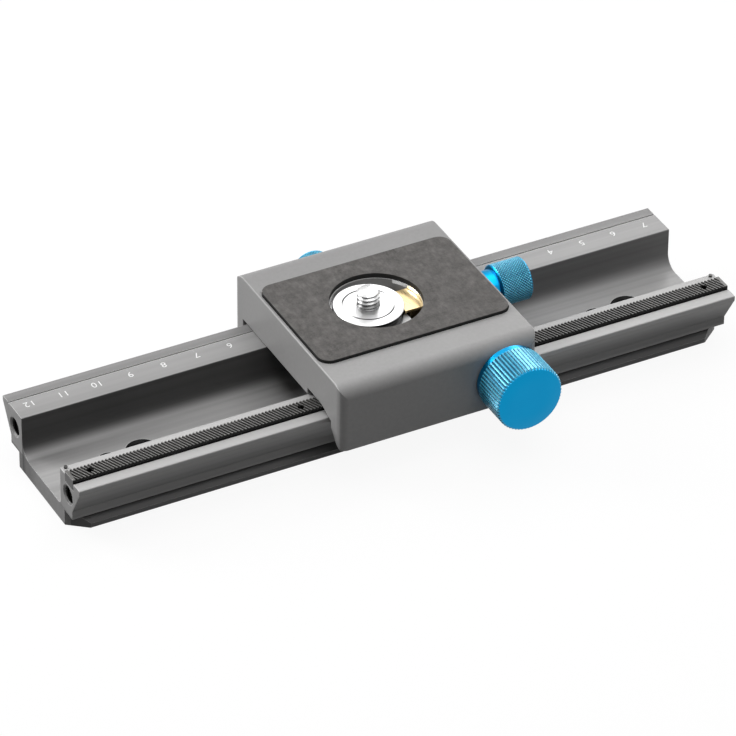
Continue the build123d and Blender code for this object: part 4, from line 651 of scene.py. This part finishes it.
def turned(axis, stations, around, pattern):
    """Vertices, faces and point layers of a turned form. stations are (run, radius, share of the
    pattern's depth); the form closes on its axis where the radius is 0."""
    vertices, rings, depths, knurled = [], [], [], []
    for run, radius, share in stations:
        if radius == 0:
            rings.append([len(vertices)])
            vertices.append(axis.point(run, 0, 0))
            depths.append(0.0)
            knurled.append(0.0)
            continue
        ring = []
        for step in range(around):
            angle = 2 * pi * step / around
            depth = share * pattern(angle, run) if share else 0.0
            ring.append(len(vertices))
            vertices.append(axis.point(run, radius - depth, angle))
            depths.append(depth)
            knurled.append(float(share > 0))
        rings.append(ring)
    faces = []
    for first, second in zip(rings, rings[1:]):
        for step in range(around):
            after = (step + 1) % around
            if len(first) == 1:
                faces.append((first[0], second[after], second[step]))
            elif len(second) == 1:
                faces.append((first[step], first[after], second[0]))
            else:
                faces.append((first[step], first[after], second[after], second[step]))
    deepest = max(depths)
    return vertices, faces, {"groove": [depth / deepest for depth in depths], "knurl": knurled}


# ---- Focus knob: straight knurl, chamfered rim, plain face and plain collar ----

POINTS_PER_RIDGE = 8
KNURLS = 60
KNURL_DEPTH = 0.45 * MM
KNURL_WIDTH = 0.72
KNURL_CURVE = 0.9
KNURL_RUN_OUT = 0.25 * MM
KNURL_ROWS = 6
RIM = 0.50 * MM
FACE_EASE = 0.05 * MM
FACE_EASE_OUTER = 0.02 * MM
FACE_EASE_INNER = 0.15 * MM
COLLAR = 1.9 * MM
COLLAR_STEP = 0.40 * MM
COLLAR_EASE = 0.10 * MM
COLLAR_CHAMFER = 0.30 * MM
BACK_EASE = 0.02 * MM
BACK_EASE_WIDTH = 0.05 * MM
KNOB_SMOOTH = 28.0


def straight_knurl(angle, run):
    """Grooves with narrow flat ridges between them."""
    phase = (angle * KNURLS / (2 * pi)) % 1.0
    off = abs(phase - 0.5) * 2
    return KNURL_DEPTH * max(0.0, 1.0 - off / KNURL_WIDTH) ** KNURL_CURVE


def build_focus_knob():
    """Stations run from the knob's face, at the front, to its back."""
    centre = (drive_low + drive_high) / 2
    radius = (drive_high.x - drive_low.x) / 2
    length = drive_high.y - drive_low.y
    knurl_start = RIM + FACE_EASE
    knurl_end = length - COLLAR
    row = (knurl_end - RIM) / KNURL_ROWS
    neck = radius - COLLAR_STEP
    back_edge = neck - COLLAR_CHAMFER
    stations = [
        (0.0, 0.0, 0),
        (0.0, radius * 0.5, 0),
        (0.0, radius - RIM - FACE_EASE_INNER, 0),
        (FACE_EASE, radius - RIM - FACE_EASE_OUTER, 0),
        (knurl_start, radius, 1),
    ]
    stations += [(knurl_start + row * k, radius, 1) for k in range(1, KNURL_ROWS)]
    stations += [
        (knurl_end - KNURL_RUN_OUT, radius, 1),
        (knurl_end, neck, 0),
        (knurl_end + COLLAR_EASE, neck, 0),
        (length - COLLAR_CHAMFER, neck, 0),
        (length - BACK_EASE, back_edge, 0),
        (length, back_edge - BACK_EASE_WIDTH, 0),
        (length, 0.0, 0),
    ]
    axis = Axis((centre.x, drive_low.y, centre.z), (0, 1, 0))
    vertices, faces, layers = turned(axis, stations, KNURLS * POINTS_PER_RIDGE, straight_knurl)
    name, body, slot_name = "focus_knob", "focus_drive", "blue_anodised"
    piece = mesh_piece(name, vertices, faces, blue, body, KNOB_SMOOTH, layers)
    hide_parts("drive_knob")


build_focus_knob()


# ---- Small knobs: crossed knurl between two plain chamfers, on a plain neck ----

DIAMONDS = 44
DIAMOND_DEPTH = 0.30 * MM
DIAMOND_CURVE = 2.2
DIAMOND_ROWS = 96
DIAMOND_RUN_IN = 0.25 * MM
RUN_IN_STATION, RUN_IN_SHARE = 0.15 * MM, 0.6
RUN_OUT_STATION, RUN_OUT_SHARE = 0.12 * MM, 0.5
GRIP_RADIUS = (clamp_high.z - clamp_low.z) / 2
GRIP_LENGTH = 9.7 * MM
GRIP_BEVEL = 0.45 * MM
GRIP_FACE_EASE = 0.05 * MM
GRIP_FACE_EASE_WIDTH = 0.15 * MM
NECK_RADIUS = 5.0 * MM
NECK_CHAMFER = 0.20 * MM
SHOULDER = 0.02 * MM
GRIP_SMOOTH = 50.0


def crossed_knurl(angle, run):
    """Diamonds between two sets of grooves that wind opposite ways at 45 degrees."""
    turns = angle * DIAMONDS / (2 * pi)
    rise = run / (2 * pi * GRIP_RADIUS / DIAMONDS)
    one = abs(((turns + rise) % 1.0) - 0.5) * 2
    two = abs(((turns - rise) % 1.0) - 0.5) * 2
    return DIAMOND_DEPTH * max(one, two) ** DIAMOND_CURVE


def build_small_knob(name, node, body, direction):
    """Stations run from the neck's back face to the knob's outer face."""
    low, high = box(node)
    along = Vector(direction)
    length = abs((high - low).dot(along))
    back = (low + high) / 2 - along * length / 2
    neck = length - GRIP_LENGTH
    start = neck + GRIP_BEVEL
    end = length - GRIP_BEVEL
    first = start + DIAMOND_RUN_IN
    last = end - DIAMOND_RUN_IN
    stations = [
        (0.0, 0.0, 0),
        (0.0, NECK_RADIUS - NECK_CHAMFER, 0),
        (NECK_CHAMFER, NECK_RADIUS, 0),
        (neck - SHOULDER, NECK_RADIUS, 0),
        (neck, GRIP_RADIUS - GRIP_BEVEL, 0),
        (start, GRIP_RADIUS, 0),
        (start + RUN_IN_STATION, GRIP_RADIUS, RUN_IN_SHARE),
    ]
    for k in range(DIAMOND_ROWS + 1):
        stations.append((first + (last - first) * k / DIAMOND_ROWS, GRIP_RADIUS, 1))
    stations += [
        (end - RUN_OUT_STATION, GRIP_RADIUS, RUN_OUT_SHARE),
        (end, GRIP_RADIUS, 0),
        (length - GRIP_FACE_EASE, GRIP_RADIUS - GRIP_BEVEL, 0),
        (length, GRIP_RADIUS - GRIP_BEVEL - GRIP_FACE_EASE_WIDTH, 0),
        (length, GRIP_RADIUS * 0.5, 0),
        (length, 0.0, 0),
    ]
    axis = Axis(back, along)
    vertices, faces, layers = turned(axis, stations, DIAMONDS * POINTS_PER_RIDGE, crossed_knurl)
    piece = mesh_piece(name, vertices, faces, blue, body, GRIP_SMOOTH, layers)
    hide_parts(node)


build_small_knob("clamp_handle_knob", "clamp_knob", "clamp_handle", (1, 0, 0))
build_small_knob("lock_handle_knob", "lock_knob", "lock_handle", (0, 1, 0))


# ---- Threads ----

INCH = 25.4 * MM
QUARTER_INCH_PITCH = INCH / 20
THREE_EIGHTHS_PITCH = INCH / 16
END_PITCH = 1.0 * MM
AROUND = 64
ROWS_PER_TURN = 10
CREST_SHARE = 0.12
SLOPE_SHARE = 0.76
THREAD_SMOOTH = 60.0

STUD_CREST = 3.175 * MM
STUD_ROOT = 2.60 * MM
STUD_TIP = 0.70 * MM
STUD_ROWS = 66
STUD_RUN_OUT = 0.5 * MM
HEAD_THICKNESS = 1.1 * MM
HEAD_CHAMFER = 0.1 * MM

SLEEVE_GAP = 0.01 * MM
FLOOR_CREST = 0.30 * MM
FLOOR_THREAD_START = 0.05 * MM
END_CREST = 0.22 * MM
END_THREAD_START = 0.5 * MM


def thread_depth(phase):
    """Share of the full thread depth at a phase of the pitch: flat crest, slopes, flat root."""
    off = abs((phase % 1.0) - 0.5) * 2
    return min(1.0, max(0.0, (off - CREST_SHARE) / SLOPE_SHARE))


def build_stud():
    """Quarter inch stud: a flat head in the disc, and a thread above it that tapers at its tip."""
    disc_top = disc_high.z
    head_top = stud_low.z + HEAD_THICKNESS
    head_radius = (stud_high.x - stud_low.x) / 2
    thread_length = stud_high.z - disc_top

    def outer_radius(z):
        return STUD_CREST - max(0.0, STUD_TIP - (stud_high.z - z))

    def groove(angle, z):
        depth = (STUD_CREST - STUD_ROOT) * thread_depth(z / QUARTER_INCH_PITCH - angle / (2 * pi))
        return max(0.0, depth - (STUD_CREST - outer_radius(z)))

    stations = [
        (stud_low.z, 0.0, 0),
        (stud_low.z, head_radius - HEAD_CHAMFER, 0),
        (stud_low.z + HEAD_CHAMFER, head_radius, 0),
        (head_top, head_radius, 0),
        (head_top, STUD_CREST, 0),
        (disc_top, STUD_CREST, 0),
    ]
    for k in range(STUD_ROWS + 1):
        z = disc_top + thread_length * k / STUD_ROWS
        stations.append((z, outer_radius(z), min(1.0, (z - disc_top) / STUD_RUN_OUT)))
    stations.append((stud_high.z, 0.0, 0))
    vertices, faces, layers = turned(Axis(stud_centre, (0, 0, 1)), stations, AROUND, groove)
    name, body, slot_name = "camera_stud_thread", "camera_screw", "plain_steel"
    piece = mesh_piece(name, vertices, faces, stud_steel, body, THREAD_SMOOTH, layers)
    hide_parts("camera_stud")


build_stud()


def inner_thread(name, axis, bore, crest, pitch, start, end):
    """Thread turned into a bore: a sleeve just inside the wall, seen from inside."""
    rows = max(8, int((end - start) / pitch * ROWS_PER_TURN))
    vertices, faces = [], []
    for row in range(rows + 1):
        run = start + (end - start) * row / rows
        for step in range(AROUND):
            angle = 2 * pi * step / AROUND
            depth = thread_depth(run / pitch - angle / (2 * pi))
            vertices.append(axis.point(run, bore - (bore - crest) * depth, angle))
    for row in range(rows):
        for step in range(AROUND):
            after = (step + 1) % AROUND
            a, b = row * AROUND + step, row * AROUND + after
            faces.append((a, a + AROUND, b + AROUND, b))
    mesh_piece(name, vertices, faces, thread_black, "rail", THREAD_SMOOTH)


for mount in frame["record"]["mounts"]:
    if mount["kind"] != "threaded_hole":
        continue
    bore = mount["dims"]["r_mm"] * MM
    length = mount["dims"]["length_mm"] * MM
    along = Vector(mount["axis"])
    # The upright ones start at the rail's underside, the others at its end faces.
    if along.z:
        axis = Axis(mount["pos_m"], (0, 0, 1))
        pitch = QUARTER_INCH_PITCH if bore < STUD_CREST else THREE_EIGHTHS_PITCH
        crest = bore - FLOOR_CREST
        start = FLOOR_THREAD_START
    else:
        mouth = Vector((rail_high.x * along.x, mount["pos_m"][1], mount["pos_m"][2]))
        axis = Axis(mouth, -along)
        pitch = END_PITCH
        crest = bore - END_CREST
        start = END_THREAD_START
    inner_thread("thread_" + mount["name"], axis, bore - SLEEVE_GAP, crest, pitch, start, length)


# ---- Scale on the rear wall's top ----

FIRST_NUMBER, LAST_NUMBER = -12, 7
SCALE_Y = 17.5 * MM
SCALE_ZERO_X = 24.8 * MM
CENTIMETRE = 10 * MM
PAINT_LIFT = 0.012 * MM
DIGIT_HEIGHT = 2.25 * MM
DIGIT_SHARE = 0.70
DIGIT_THINNER = 0.010 * MM
DIGIT_SPACING = 1.12
TICK_FAR, TICK_NEAR = 20.3 * MM, 19.1 * MM
TICK_WIDTH = 0.16 * MM


def flat_number(number):
    """Points and faces of a number in plain digits, round the origin."""
    curve = bpy.data.curves.new("digit", "FONT")
    curve.body = str(number)
    curve.align_x = "CENTER"
    curve.align_y = "CENTER"
    curve.size = DIGIT_HEIGHT / DIGIT_SHARE
    curve.offset = -DIGIT_THINNER
    curve.space_character = DIGIT_SPACING
    holder = bpy.data.objects.new("digit", curve)
    bpy.context.scene.collection.objects.link(holder)
    bpy.context.view_layer.update()
    flat = bpy.data.meshes.new_from_object(holder)
    points = [vertex.co.copy() for vertex in flat.vertices]
    faces = [tuple(face.vertices) for face in flat.polygons]
    bpy.data.objects.remove(holder)
    bpy.data.curves.remove(curve)
    bpy.data.meshes.remove(flat)
    return points, faces


paint_level = rail_high.z + PAINT_LIFT
digit_vertices, digit_faces, tick_vertices, tick_faces = [], [], [], []
for number in range(FIRST_NUMBER, LAST_NUMBER + 1):
    x = SCALE_ZERO_X + number * CENTIMETRE
    points, faces = flat_number(abs(number))
    offset = len(digit_vertices)
    # The numbers are read from behind the rail.
    digit_vertices += [(x - point.x, SCALE_Y - point.y, paint_level) for point in points]
    digit_faces += [tuple(offset + v for v in face) for face in faces]
    offset = len(tick_vertices)
    for side, y in ((-1, TICK_NEAR), (1, TICK_NEAR), (1, TICK_FAR), (-1, TICK_FAR)):
        tick_vertices.append((x + side * TICK_WIDTH / 2, y, paint_level))
    tick_faces.append(tuple(range(offset, offset + 4)))
mesh_piece("scale_numbers", digit_vertices, digit_faces, paint, "rail")
mesh_piece("scale_ticks", tick_vertices, tick_faces, faint_paint, "rail")


# ---- Studio ----

scene = bpy.context.scene
scene.view_settings.view_transform = "Standard"

WORLD_LIGHT = 0.03
FLOOR_HALF = 1.6
FLOOR_GAP = 0.02 * MM
FLOOR_GRAIN = 60.0
FLOOR_GLOW = 0.92
FLOOR_BOUNCE = grey(0.12)
PAPER_DARK, PAPER_PALE = grey(0.80), grey(0.82)
RAIL_SHADE_X = 92 * MM
RAIL_SHADE_Y = 16 * MM
OBJECT_MIDDLE = Vector((0.0, 0.0, 0.02))


def seen_directly(graph):
    """1 for rays from the camera and for mirror and glass rays, 0 for the rest."""
    path = graph.add("ShaderNodeLightPath")
    seen = path.outputs["Is Camera Ray"]
    for ray in ("Is Glossy Ray", "Is Transmission Ray"):
        seen = graph.math("MAXIMUM", seen, path.outputs[ray])
    return seen


def build_world():
    """White where it is seen, and only a faint light on the object."""
    world = bpy.data.worlds.new("studio")
    scene.world = world
    world.use_nodes = True
    g = Graph(world.node_tree)
    background = world.node_tree.nodes["Background"]
    background.inputs["Color"].default_value = grey(1.0)
    g.link(g.spread(seen_directly(g), WORLD_LIGHT, 1.0), background.inputs["Strength"])


def floor_paper():
    """Pale paper that keeps the object's shadow and looks white. Under the rail it has no glow, so
    that the holes through the rail stay dark."""
    material = bpy.data.materials.new("floor_paper")
    material.use_nodes = True
    material.node_tree.nodes.clear()
    g = Graph(material.node_tree)
    grain = g.add("ShaderNodeTexNoise")
    grain.inputs["Scale"].default_value = FLOOR_GRAIN
    seen = seen_directly(g)
    paper = g.add("ShaderNodeBsdfDiffuse")
    tint = g.mix(grain.outputs["Fac"], PAPER_DARK, PAPER_PALE)
    g.link(g.mix(seen, FLOOR_BOUNCE, tint), paper.inputs["Color"])
    glow = g.add("ShaderNodeEmission")
    glow.inputs["Color"].default_value = grey(1.0)
    past_end = g.math("GREATER_THAN", g.math("ABSOLUTE", g.axis("X")), RAIL_SHADE_X)
    past_side = g.math("GREATER_THAN", g.math("ABSOLUTE", g.axis("Y")), RAIL_SHADE_Y)
    share = g.product(seen, g.math("MAXIMUM", past_end, past_side), FLOOR_GLOW)
    mixer = g.add("ShaderNodeMixShader")
    g.link(share, mixer.inputs["Fac"])
    g.link(paper.outputs[0], mixer.inputs[1])
    g.link(glow.outputs[0], mixer.inputs[2])
    g.link(mixer.outputs[0], g.add("ShaderNodeOutputMaterial").inputs["Surface"])
    return material


def build_floor():
    """A wide sheet just below the rail."""
    mesh = bpy.data.meshes.new("floor")
    corners = [(-1, -1), (1, -1), (1, 1), (-1, 1)]
    level = rail_low.z - FLOOR_GAP
    mesh.from_pydata([(x * FLOOR_HALF, y * FLOOR_HALF, level) for x, y in corners], [], [(0, 1, 2, 3)])
    mesh.materials.append(floor_paper())
    floor = bpy.data.objects.new("floor", mesh)
    scene.collection.objects.link(floor)


def softbox(name, place, width, height, radiance):
    """Rectangular lamp turned to the object, with the power that gives it a radiance."""
    lamp = bpy.data.lights.new(name, "AREA")
    lamp.shape = "RECTANGLE"
    lamp.size = width
    lamp.size_y = height
    lamp.energy = radiance * pi * width * height
    holder = bpy.data.objects.new(name, lamp)
    scene.collection.objects.link(holder)
    holder.location = place
    holder.rotation_euler = (OBJECT_MIDDLE - Vector(place)).to_track_quat("-Z", "Y").to_euler()


build_world()
build_floor()

# Name, place, width, height and radiance of each lamp.
SOFTBOXES = (
    ("top_front", (0.0, -0.25, 0.45), 0.4, 0.3, 2.3),
    ("top_middle", (0.0, 0.05, 0.45), 0.4, 0.3, 2.9),
    ("top_rear", (0.0, 0.35, 0.45), 0.4, 0.3, 0.55),
    ("top_right", (0.38, 0.05, 0.42), 0.3, 0.4, 1.6),
    ("left_rear", (-0.45, 0.40, 0.35), 0.3, 0.4, 10.0),
    ("right_rear", (0.45, 0.45, 0.30), 0.3, 0.4, 3.7),
    ("front_right", (0.42, -0.40, 0.30), 0.3, 0.4, 0.45),
)
for lamp in SOFTBOXES:
    softbox(*lamp)


# ---- Camera, from a fit of the rail's and carriage's corners in the photograph ----

IMAGE_SIZE = 736
FOCAL_PIXELS = 5722.3
SENSOR = 36.0
AZIMUTH = radians(-27.725)
ELEVATION = radians(35.736)
ROLL = radians(0.563)
DISTANCE = 1573.1 * MM
SHIFT_RIGHT = -1.436 * MM
SHIFT_UP = 7.879 * MM
FAR_CLIP = 20.0

back = Vector((sin(AZIMUTH) * cos(ELEVATION), -cos(AZIMUTH) * cos(ELEVATION), sin(ELEVATION)))
right = (-back).cross(Vector((0, 0, 1))).normalized()
up = right.cross(-back)
rolled_right = right * cos(ROLL) + up * sin(ROLL)
rolled_up = up * cos(ROLL) - right * sin(ROLL)
eye = back * DISTANCE + right * SHIFT_RIGHT + up * SHIFT_UP
camera_data = bpy.data.cameras.new("camera")
camera_data.sensor_width = SENSOR
camera_data.lens = FOCAL_PIXELS / IMAGE_SIZE * SENSOR
camera_data.clip_end = FAR_CLIP
camera = bpy.data.objects.new("camera", camera_data)
scene.collection.objects.link(camera)
turn = Matrix((rolled_right, rolled_up, back)).transposed().to_4x4()
camera.matrix_world = Matrix.Translation(eye) @ turn
scene.camera = camera
